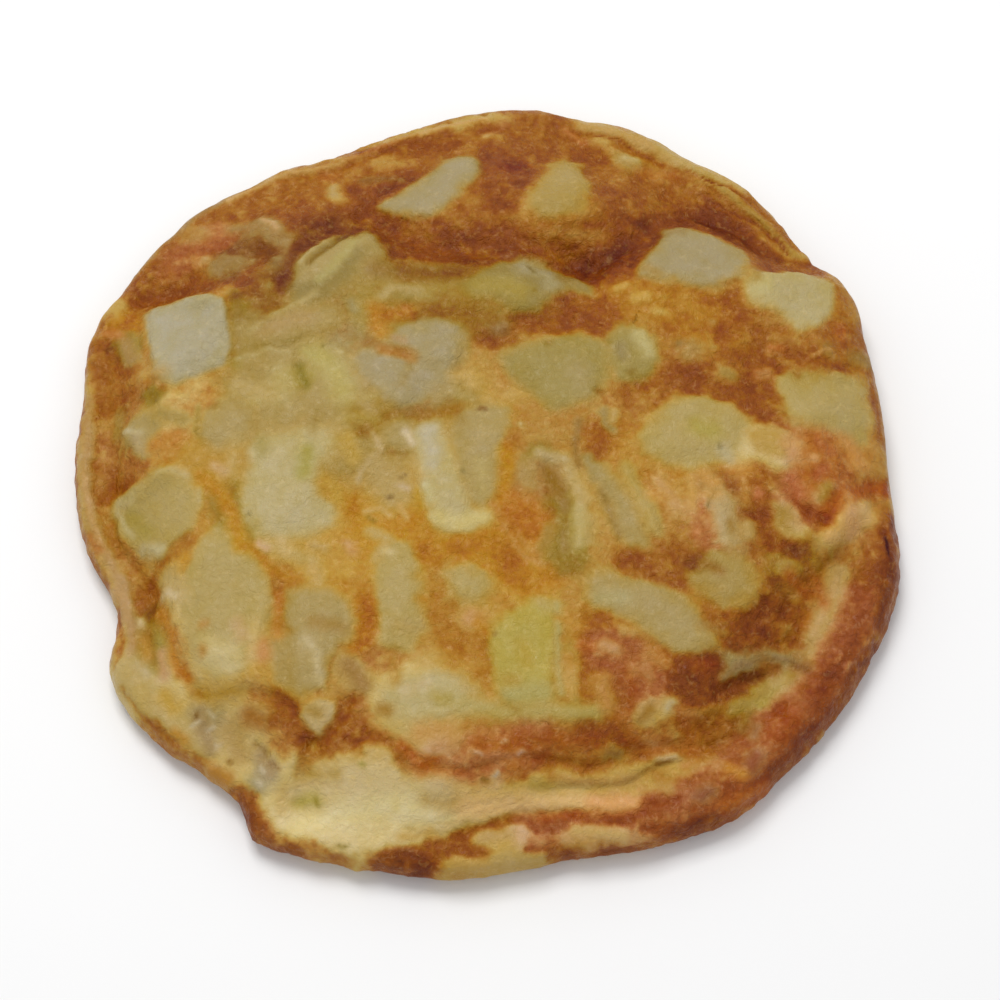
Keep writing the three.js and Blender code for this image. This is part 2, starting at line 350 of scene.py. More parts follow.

# How brown the skin is, with painted shade in its hollows, from broad to fine: browning, half-width,
# fade, path. 0 is pale egg, 0.5 golden, 0.8 brown and 1 the darkest creases, browned and painted with
# shade.
BROWNED_AND_SHADED_PATCHES = [
    # Far band.
    (0.62, 15, 7.5, [(-84, 36), (-74, 50), (-58, 62), (-38, 70), (-14, 76), (10, 78), (36, 70), (54, 64),
                     (68, 54)]),
    # Crown of the mound, upper left.
    (0.13, 14, 12, [(-32, 46), (-38, 34), (-36, 20), (-44, 10), (-52, 4)]),
    (0.16, 9, 9, [(-24, 30), (-10, 14), (-4, 2), (-26, 2)]),
    (0.3, 9, 7.5, [(-30, 30), (-14, 36), (0, 34)]),
    (0.32, 8, 7.5, [(-70, 11), (-60, 11)]),
    # Right-hand ground.
    (0.6, 13, 7.5, [(34, 34), (50, 26), (68, 26), (80, 30)]),
    (0.68, 8, 6, [(36, 14), (50, 14), (60, 10)]),
    (0.38, 9, 7.5, [(36, -10), (50, -7), (56, -6)]),
    (0.68, 6, 6, [(36, -24), (42, -27), (47, -24)]),
    (0.7, 10, 7.5, [(61, -9), (66, -24)]),
    (0.46, 7, 6, [(80, 4), (80, -10), (76, -18)]),
    (0.3, 14, 9, [(66, 2), (58, 0)]),
    # Middle.
    (0.38, 9, 7.5, [(-20, -20), (-8, -24), (6, -26), (10, -14), (8, -2)]),
    (0.3, 8, 7.5, [(-26, -10), (-24, -30)]),
    (0.38, 6, 6, [(20, 4), (22, -6), (30, -4)]),
    (0.33, 9, 6, [(-10, -38), (4, -32), (16, -36)]),
    # Lower left.
    (0.28, 14, 9, [(-62, -46), (-56, -58), (-48, -66)]),
    (0.1, 8, 6, [(-72, -46), (-68, -54), (-62, -60)]),
    (0.22, 6, 6, [(-56, -62), (-50, -66)]),
    # Near side wall.
    (0.04, 13, 7.5, [(-42, -80), (-30, -78), (-16, -78), (0, -78)]),
    (0.22, 5, 4.5, [(4, -77), (20, -74), (36, -70), (48, -64)]),
    # Lower right.
    (0.72, 12, 7.5, [(24, -52), (32, -57), (44, -53), (54, -42), (64, -34)]),
    (0.77, 9, 6, [(86, -20), (83, -36), (76, -50), (64, -64), (48, -77), (34, -83)]),
    # Valley: browned, and darker still with painted shade in the hollow.
    (0.77, 4.5, 6, [(-78, 40), (-62, 43), (-52, 48)]),
    (0.9, 5.5, 6, [(-50, 49), (-38, 55), (-27, 59), (-20, 54), (-8, 49), (4, 49), (14, 50)]),
    (0.98, 5.5, 6, [(20, 47), (25, 45), (32, 48), (38, 57), (48, 61), (58, 57), (66, 52), (70, 49)]),
    (1.12, 4, 4.5, [(24, 44), (28, 47)]),
    (1.02, 2.5, 4.5, [(46, 61), (58, 57)]),
    # Browner and paler places in the far band.
    (0.83, 5, 6, [(0, 73), (5, 69), (6, 65)]),
    (0.76, 4, 4.5, [(-20, 80), (-10, 76)]),
    (0.73, 5, 6, [(-66, 58), (-52, 64), (-44, 60), (-40, 56)]),
    (0.76, 5, 6, [(-76, 46), (-66, 46)]),
    (0.71, 5, 6, [(12, 78), (24, 76)]),
    (0.66, 5, 6, [(36, 66), (46, 68)]),
    (0.77, 5, 6, [(28, 56), (34, 60)]),
    (0.45, 4, 4.5, [(10, 55), (24, 55)]),
    (0.34, 3.5, 4.5, [(-70, 54), (-65, 56)]),
    (0.36, 3.2, 4.8, [(-56, 58), (-50, 57), (-45, 52)]),
    (0.36, 2.8, 4.5, [(-61, 46), (-56, 46)]),
    (0.22, 2.6, 3.8, [(-34.5, 69), (-34, 65)]),
    (0.4, 2.6, 4.5, [(-52, 68), (-56, 66)]),
    (0.38, 3, 4.5, [(-22, 76), (-21, 72)]),
    (0.45, 2.4, 4.5, [(5, 63)]),
    (0.35, 2.4, 3.8, [(4, 86), (3, 82)]),
    (0.3, 4, 6, [(-47, 46), (-43, 40), (-40, 36)]),
    # Pale layered edge along the far rim.
    (0.2, 2.2, 3, [(-60, 68), (-46, 74), (-30, 79), (-14, 84), (2, 88)]),
    (0.24, 4, 4.5, [(22, 86), (34, 81), (46, 76), (56, 69), (64, 61), (70, 53)]),
    (0.62, 1.2, 2.2, [(30, 81), (44, 74), (54, 67), (62, 60), (68, 53)]),
    (0.62, 1, 2.2, [(-50, 74), (-34, 80), (-16, 86), (0, 90)]),
    (0.24, 3, 4.5, [(-82, 40), (-84, 34)]),
    # Left rim: brown edge, pale line, brown groove.
    (0.66, 2.5, 3, [(-84, 34), (-88, 22), (-90, 8), (-90, -4), (-88, -12), (-82, -24), (-78, -34),
                    (-78, -42)]),
    (0.24, 2.2, 3, [(-87, 22), (-87, 8), (-86, -8), (-84, -16), (-78, -28), (-76, -36)]),
    (0.72, 5, 4.5, [(-84, 26), (-79, 16), (-80, 6)]),
    (0.73, 2.6, 3.8, [(-84, 24), (-83, 12), (-82, 2), (-81, -8)]),
    (0.6, 2, 3.8, [(-81, -8), (-81, -14), (-77, -22), (-72, -30), (-70, -36)]),
    (0.8, 4, 4.5, [(-80, -2), (-79, -6)]),
    (0.71, 3, 4.5, [(-78, -5), (-70, -3)]),
    (0.46, 3.5, 4.5, [(-70, -1), (-63, -2)]),
    (0.66, 4, 4.5, [(-80, 13), (-76, 17)]),
    (0.5, 1.4, 2.1, [(-77, 37), (-76, 26), (-73, 17)]),
    (0.3, 3, 4.5, [(-78, 28)]),
    (0.71, 3.2, 4.5, [(-72, -32), (-69, -26), (-66, -24)]),
    (0.4, 1.8, 3.8, [(-70, -36), (-66, -43), (-63, -50)]),
    # Painted shade in the crease near the left rim.
    (0.4, 1.8, 3.8, [(-72, -38), (-71, -46)]),
    # Orange crease round the pale pieces on the left.
    (0.46, 2.4, 3.6, [(-66, 12), (-60, 6), (-59, -2), (-56, -9)]),
    (0.4, 1.6, 3.4, [(-51, -23), (-46, -28.6), (-41, -31)]),
    (0.5, 2.2, 3.6, [(-42, -32), (-41, -42)]),
    (0.4, 3.4, 4.5, [(-46, -46)]),
    (0.5, 3, 3.6, [(-52, 31), (-46, 33)]),
    # Painted shadow down the right side of the white die.
    (0.42, 2, 3, [(-54.5, 34), (-54.5, 22)]),
    # Brown fold at the near left.
    (0.6, 1.8, 4, [(-50, -55.6), (-46, -57), (-40, -60)]),
    (0.77, 3.2, 4.2, [(-41, -60), (-37, -65), (-33, -67), (-27, -65)]),
    (0.66, 3.5, 4.5, [(-27, -60), (-28, -66)]),
    (0.46, 1.2, 2.1, [(-37, -68), (-37.5, -76)]),
    (0.62, 3, 3.6, [(-70, -59), (-65, -64), (-59, -68)]),
    (0.6, 2, 3, [(-58, -71), (-51, -75)]),
    (0.88, 3.4, 3.9, [(-50, -77), (-48, -82), (-44, -86), (-39, -87)]),
    (0.6, 1.6, 3, [(-38, -87), (-28, -90)]),
    # Spots in the middle.
    (0.36, 4, 4.5, [(-26, 6)]),
    (0.36, 2.4, 3.6, [(-15, 7.5), (-6, 8.5)]),
    (0.36, 3.4, 4.5, [(-3, 22), (0, 26)]),
    (0.58, 3, 4.5, [(0, 28), (6, 28)]),
    (0.74, 3, 4.5, [(10, 29.6), (17, 31)]),
    (0.82, 3.6, 3.9, [(18, 32), (24, 33), (26, 29)]),
    (0.3, 4, 5.6, [(-26, 29), (-22, 30)]),
    (0.4, 4, 4.5, [(-8, 34), (2, 33)]),
    (0.4, 4, 4.5, [(5, 4), (6, -8)]),
    (0.54, 3.6, 4.5, [(7, -20), (8, -16)]),
    (0.62, 3.4, 4.5, [(24, 3), (25, -2)]),
    (0.54, 4, 4.5, [(31, 11), (30, 6)]),
    (0.28, 2.2, 3, [(27, 8)]),
    (0.3, 3, 4.5, [(14, -8)]),
    (0.4, 2.3, 2.4, [(13, -5), (15.5, -11), (18, -17)]),
    (0.38, 2, 2.7, [(17, -21), (18, -26)]),
    (0.06, 1.6, 2.7, [(20, -7), (22, -13), (21.5, -20)]),
    (0.4, 4.5, 5, [(-16, -21), (-8, -23), (0, -23)]),
    (0.52, 3.4, 5, [(4, -26), (8, -30)]),
    (0.4, 3.4, 5, [(14, -31), (20, -28)]),
    (0.49, 3.4, 4.5, [(-25, -34), (-24, -44)]),
    (0.46, 3.4, 4.5, [(-8, -34), (-9, -40), (-4, -46)]),
    (0.54, 3, 3.9, [(-4, -46)]),
    (0.5, 2, 3, [(0.5, -44), (1, -54)]),
    (0.54, 2.6, 3.6, [(-24, -49), (-20, -51)]),
    (0.36, 3, 4.5, [(-26, -50)]),
    (0.2, 4, 4.5, [(-20, -56), (-12, -52)]),
    (0.64, 3.6, 5.1, [(31, -27), (36, -27), (44, -31)]),
    # Right field.
    (0.76, 3.8, 4.5, [(40, 15.6), (50, 15)]),
    (0.8, 4, 4.5, [(54, 14), (61, 10), (62, 5)]),
    (0.8, 3.2, 3.9, [(57, 19), (66, 20.6), (80, 20.6)]),
    (0.66, 3, 4.5, [(80, 26), (83, 34)]),
    (0.66, 3, 4.5, [(57, 33), (52, 36)]),
    (0.4, 2.6, 3.9, [(46, 24)]),
    (0.3, 2, 3.6, [(51, 17)]),
    (0.06, 3.8, 4.5, [(58, 1), (63, -1), (63, -4)]),
    (0.24, 3, 4.5, [(70, 4), (78, 5)]),
    (0.62, 4, 4.5, [(68, 2), (74, 1), (76, -5)]),
    (0.62, 4, 4.5, [(67, -8), (69, -12)]),
    (0.71, 2.6, 3.9, [(57, -10), (58, -16)]),
    (0.76, 2.8, 3.9, [(67, -14), (72, -17)]),
    (0.77, 2.8, 3.9, [(62, -23), (68, -24)]),
    (0.58, 2.4, 3.6, [(53, -9), (52, -6)]),
    (0.16, 3, 3.9, [(64, -15), (66, -19)]),
    (0.22, 2.8, 3.9, [(74, -10), (71, -10)]),
    (0.28, 2.6, 3.9, [(82, -13), (77, -18), (73, -22)]),
    (0.34, 2.2, 3.6, [(61, -27), (65, -27.6)]),
    (0.28, 3.6, 4.5, [(50, -14), (53, -22)]),
    (0.6, 2, 3, [(46, -16), (44, -21)]),
    (0.52, 1.6, 2.7, [(34, -8), (38, -14), (40, -20)]),
    (0.62, 1.8, 2.7, [(84, -6), (87, -14)]),
    (0.7, 1.6, 3, [(87, -6), (82, -7.6), (77.6, -10.4), (74.6, -13.4), (72.6, -16)]),
    (0.66, 1.4, 3, [(84, -17), (79, -20.6), (74, -24.6), (70, -28), (66, -33)]),
    # Rolled rim.
    (0.26, 3, 3.6, [(80, -22), (73, -34), (70, -43)]),
    (0.9, 2.2, 3.3, [(82, -26), (80, -38), (74, -48)]),
    (0.9, 2.4, 3.9, [(87, -18), (86, -30)]),
    (0.81, 3, 3.9, [(70, -54), (62, -61)]),
    (0.2, 3, 3.9, [(67, -48), (62, -53), (56, -58)]),
    (0.4, 2, 3, [(55, -58), (46, -60), (40, -62)]),
    (0.28, 2, 3, [(50, -49), (58, -46.5), (66, -47)]),
    (0.88, 1.8, 2.7, [(50, -55), (55, -51), (60, -49)]),
    (0.9, 6, 5.1, [(42, -50), (46, -55)]),
    (0.78, 3.6, 5, [(53, -42), (60, -38), (62, -34)]),
    (0.76, 3, 4.8, [(22, -64), (29, -64)]),
    (0.16, 2.2, 3, [(38, -59), (33, -61)]),
    (0.16, 2, 3, [(63, -41)]),
    (0.62, 2, 3, [(44, -64), (54, -60)]),
    # Near edge.
    (0.62, 3.4, 4.8, [(-4, -69.6), (2, -68.6), (8, -67), (18, -67)]),
    (0.66, 2.4, 3.6, [(-14, -74), (-8, -73), (-2, -73)]),
    (0.56, 1.6, 2.4, [(6, -73), (14, -70), (24, -70.5), (33, -68.5), (42, -66)]),
    (0.12, 1.6, 2.4, [(10, -75), (20, -72.5), (34, -70.5), (42, -68)]),
    (0.34, 2.4, 3.6, [(24, -76), (36, -73), (46, -69)]),
    (0.66, 2.2, 3.3, [(-18, -68), (-14, -72)]),
    (0.9, 2.8, 3.3, [(-22, -90), (-12, -90.5)]),
    (0.8, 2.6, 3.3, [(-10, -87), (-2, -87)]),
    (0.71, 1.6, 2.4, [(-6, -85), (2, -82), (8, -80.5)]),
    (0.88, 3, 3.6, [(11, -82), (16, -81), (20, -80)]),
    (0.85, 2.2, 3, [(20, -80.5), (30, -81)]),
    (0.8, 3.6, 3.9, [(32, -81), (38, -79), (44, -76)]),
    (0.71, 1.4, 2.4, [(9, -87), (20, -88), (34, -86)]),
    (0.2, 2, 3, [(0, -86), (6, -86)]),
    (0.28, 2, 3, [(16, -85), (26, -84), (33, -83.5)]),
    (0.36, 2.4, 3.6, [(48, -71), (52, -74)]),
]

# Colours of the potato under its film of egg.
WHITE_POTATO = "#a89c78"    # the whitest die, with hardly any egg on it
CREAM_POTATO = "#b4a26e"
BUFF_POTATO = "#ae975a"
TAN_POTATO = "#a79058"
DULL_POTATO = "#a19066"     # greyer than the rest
YELLOW_POTATO = "#ae9a4a"   # the yellowest
GOLDEN_POTATO = "#a88e50"
OLIVE_POTATO = "#9c884a"
BROWN_POTATO = "#907c45"    # the darkest
PALE_EGG = "#c0a876"        # pale egg that pooled at the near left

# The potato and the pale egg that show through: colour, browning, half-width, fade, outline.
POTATO_PATCHES = [
    (WHITE_POTATO, 0, 0, 1.8, [(-75.6, 37.2), (-66, 38), (-60.6, 37), (-57.6, 35), (-56, 30), (-55.2, 23),
                               (-57, 19), (-62, 17), (-67, 14.6), (-71, 16), (-73, 22), (-74.6, 30),
                               (-75.6, 37.2)]),
    (DULL_POTATO, 0, 0, 2.2, [(-24.4, 61.2), (-22, 63), (-18, 65.6), (-13.4, 69.4), (-10.4, 73), (-7.6, 75),
                              (-4, 75), (-1.2, 73), (-0.8, 70.4), (-3, 66.6), (-6, 62.6), (-9, 59),
                              (-12, 57), (-16, 56.6), (-20, 58.2), (-24.4, 61.2)]),
    (BROWN_POTATO, 0.04, 0, 3, [(-40, 45), (-37, 50), (-33, 53.4), (-29, 54), (-25.6, 52), (-24, 47),
                                (-27, 43), (-31, 39), (-36, 35), (-42, 35), (-43, 39), (-40, 45)]),
    (TAN_POTATO, 0.08, 0, 3.6, [(-49.6, 25), (-45, 30), (-40, 33), (-33, 33), (-32, 29), (-37, 26),
                                (-43, 24), (-48, 23), (-49.6, 25)]),
    (DULL_POTATO, 0, 0, 2.4, [(-19.6, 24), (-18.4, 28), (-14, 30.4), (-9, 29.8), (-5.6, 27.6), (-3.8, 24),
                              (-4.2, 20), (-6.6, 17.6), (-8.8, 16.8), (-9.6, 14.4), (-10.4, 17.8),
                              (-13, 20), (-16, 20.8), (-19.6, 24)]),
    (DULL_POTATO, 0, 0, 2.6, [(-28.8, 19.6), (-26.6, 22.4), (-23, 22.6), (-19.6, 22), (-16, 20.6),
                              (-12.4, 19.4), (-9.6, 17.8), (-8.4, 14.6), (-11.4, 12), (-14.6, 9.2),
                              (-18.4, 8.8), (-21.6, 11), (-25, 15), (-28.8, 19.6)]),
    (TAN_POTATO, 0.02, 0, 2.2, [(-61.2, 6), (-60, 9), (-57, 11), (-53, 10), (-51, 7), (-51, 2), (-53, -3),
                                (-57, -3), (-60, -1), (-61.6, 2), (-61.2, 6)]),
    (TAN_POTATO, 0.02, 0, 3.3, [(-79, 6), (-76, 9.6), (-72, 9), (-69, 5), (-71, 1), (-75, -1), (-79, 2),
                                (-79, 6)]),
    (GOLDEN_POTATO, 0.02, 0, 3, [(10.2, 58.4), (10.4, 62), (12, 67), (14, 71.6), (16.6, 74.2), (20, 74.2),
                                 (22.6, 71), (24, 66), (23.2, 61.4), (20.4, 57.4), (16, 55.8), (12, 56),
                                 (10.2, 58.4)]),
    (DULL_POTATO, 0, 0, 2.6, [(33.4, 40.4), (34.6, 44), (37.2, 49.6), (39.4, 54.6), (42.4, 55.4),
                              (47.4, 54.6), (53, 52), (58, 49.4), (58.4, 45), (55.6, 40.6), (52.6, 38.2),
                              (46, 38.4), (40, 39.6), (33.4, 40.4)]),
    (CREAM_POTATO, 0, 0, 2.4, [(57.6, 39), (59, 42.4), (63, 43), (68, 43.8), (73, 44.2), (77.4, 42),
                               (77.4, 38.4), (76, 34), (73.4, 30.4), (70, 28), (67, 29), (64.6, 32),
                               (61, 34), (58, 36), (57.6, 39)]),
    (BUFF_POTATO, 0, 0, 2.4, [(63.4, 17), (66, 18), (72, 18), (78, 18.6), (82, 18.4), (84, 15), (84, 8),
                              (83, 3), (79, 2), (74, 4), (69, 4), (65, 6), (63.4, 10), (63.4, 17)]),
    (BROWN_POTATO, 0, 0, 3, [(-5.4, 39), (0, 43), (4, 46), (8, 47.6), (12, 46), (17, 44), (21, 42),
                             (24, 39.4), (23.6, 36.6), (18, 38), (15.4, 37), (14, 33.6), (11, 31.6),
                             (8, 32), (2, 35), (-3, 36.2), (-5.4, 39)]),
    (OLIVE_POTATO, 0.02, 0, 3, [(3, 21.6), (5, 22.8), (9, 24.2), (12, 25), (16, 26), (20, 26.6), (24, 25.4),
                                (26.6, 23), (27.4, 19), (26, 15), (23, 11.6), (19, 8.6), (14, 8),
                                (10.6, 10.6), (7, 14.6), (4.4, 18), (3, 21.6)]),
    (OLIVE_POTATO, 0, 0, 2.6, [(26.6, 25.6), (29.6, 28.8), (34.6, 28.2), (37.4, 24.6), (38, 20), (36, 16),
                               (32.4, 14.2), (28.4, 15.4), (27, 20), (26.6, 25.6)]),
    (BUFF_POTATO, 0, 0, 2.2, [(-81, -10.6), (-79.4, -8.2), (-74, -7), (-70.6, -5), (-67.6, -4.6),
                              (-64, -6.6), (-60.6, -10.4), (-60.4, -15), (-62.6, -20), (-66, -22),
                              (-69, -25), (-72, -24), (-75.4, -21.6), (-78.6, -17), (-81, -13),
                              (-81, -10.6)]),
    (CREAM_POTATO, 0, 0, 2.6, [(-51, -0.6), (-46, 2.4), (-41, 3.8), (-36, 4.4), (-32.4, 3), (-31, 0),
                               (-32.6, -3.4), (-35, -5.6), (-36, -9), (-35, -12), (-32.4, -13.6),
                               (-31, -16), (-32.4, -19), (-36, -21.4), (-43, -23.4), (-49, -22),
                               (-51.6, -16), (-51.6, -6), (-51, -0.6)]),
    (TAN_POTATO, 0, 0, 3, [(-23, 3), (-19, 5.4), (-15, 5), (-14, 0), (-17, -3), (-22, -2), (-23, 3)]),
    (CREAM_POTATO, 0, 0, 2.2, [(-15.4, 3), (-13, 5.2), (-10, 5.6), (-8, 3), (-6.4, -3), (-4.6, -10),
                               (-2, -15), (1, -17.6), (-2, -20.4), (-7, -21), (-10.6, -20), (-12.4, -15),
                               (-13.8, -7), (-15.4, 3)]),
    (TAN_POTATO, 0, 0, 2.8, [(-6.6, 5), (-4, 8.6), (1, 9.4), (5.4, 8.6), (5.2, 5), (3.8, 1), (2.8, -5),
                             (2, -11), (0, -15.6), (-2.6, -14), (-5, -9), (-6.4, -2), (-7, 2), (-6.6, 5)]),
    (BUFF_POTATO, 0, 0, 2.4, [(-23, -26), (-20, -22.6), (-16, -23.4), (-14, -28), (-13, -34), (-13, -42),
                              (-15, -47), (-19, -48), (-22, -46), (-22, -38), (-23, -32), (-23, -26)]),
    (BUFF_POTATO, 0, 0, 2.4, [(-7.6, -31), (-6, -28.6), (-2, -28), (1, -30), (2, -33), (0, -36),
                              (-4, -36.6), (-7, -35), (-7.6, -31)]),
    (BUFF_POTATO, 0, 0, 2.2, [(-63, -29), (-60, -22), (-57, -18.6), (-53, -20), (-50, -23), (-46, -29),
                              (-44.6, -34), (-45.4, -40), (-47, -46), (-50, -51), (-56, -52), (-60.6, -47),
                              (-63, -40), (-64, -33), (-63, -29)]),
    (TAN_POTATO, 0, 0, 3.2, [(-41, -34), (-37, -33), (-32, -34), (-28.6, -37), (-27.2, -41), (-28.4, -45),
                             (-31, -49), (-32, -53), (-33.4, -56), (-38, -57), (-43, -54), (-44, -46),
                             (-42, -40), (-41, -34)]),
    (TAN_POTATO, 0.02, 0, 4, [(22, -3), (26, -4.6), (29, -9), (32, -15), (35, -21), (35, -24), (31, -24),
                              (28, -20), (26, -14), (23, -8), (22, -3)]),
    (TAN_POTATO, 0, 0, 2.6, [(20, -32), (23, -30), (27, -30.4), (33, -31.4), (38, -33), (43, -36),
                             (47, -41), (48, -45), (46, -48), (41, -48), (36, -45.6), (31, -40.6),
                             (25, -37.6), (21, -36), (20, -32)]),
    (GOLDEN_POTATO, 0.04, 0, 3.4, [(42, -27), (44, -26), (48, -25), (53, -26), (57, -29), (58, -33),
                                   (55, -36), (50, -37.4), (45, -34), (42, -30), (42, -27)]),
    (YELLOW_POTATO, 0, 0, 2.8, [(2, -42), (5, -40), (7, -38), (10, -36), (14, -35.6), (15, -38), (15, -46),
                                (14.6, -54), (13, -58), (9, -59.4), (6, -58.4), (3, -55), (1.4, -50),
                                (1, -45), (2, -42)]),
    (CREAM_POTATO, 0, 0, 4, [(-21, -56), (-17, -53), (-10, -52), (-4, -53), (-2, -57), (-3, -61), (-8, -63),
                             (-15, -64.6), (-18, -62), (-21, -59), (-21, -56)]),
    (PALE_EGG, 0, 0, 2, [(-37, -59), (-34, -57.5), (-31, -59), (-30, -61), (-32, -63), (-34, -66),
                         (-36, -64), (-38, -61), (-37, -59)]),
    (BUFF_POTATO, 0, 0, 2.8, [(35, 5), (37, 8.6), (41, 11.4), (48, 11.4), (52, 9.4), (56, 6.4), (57, 3),
                              (54, -2), (50, -4), (44, -6), (39, -4.6), (34.4, -2), (33.2, 2), (35, 5)]),
]

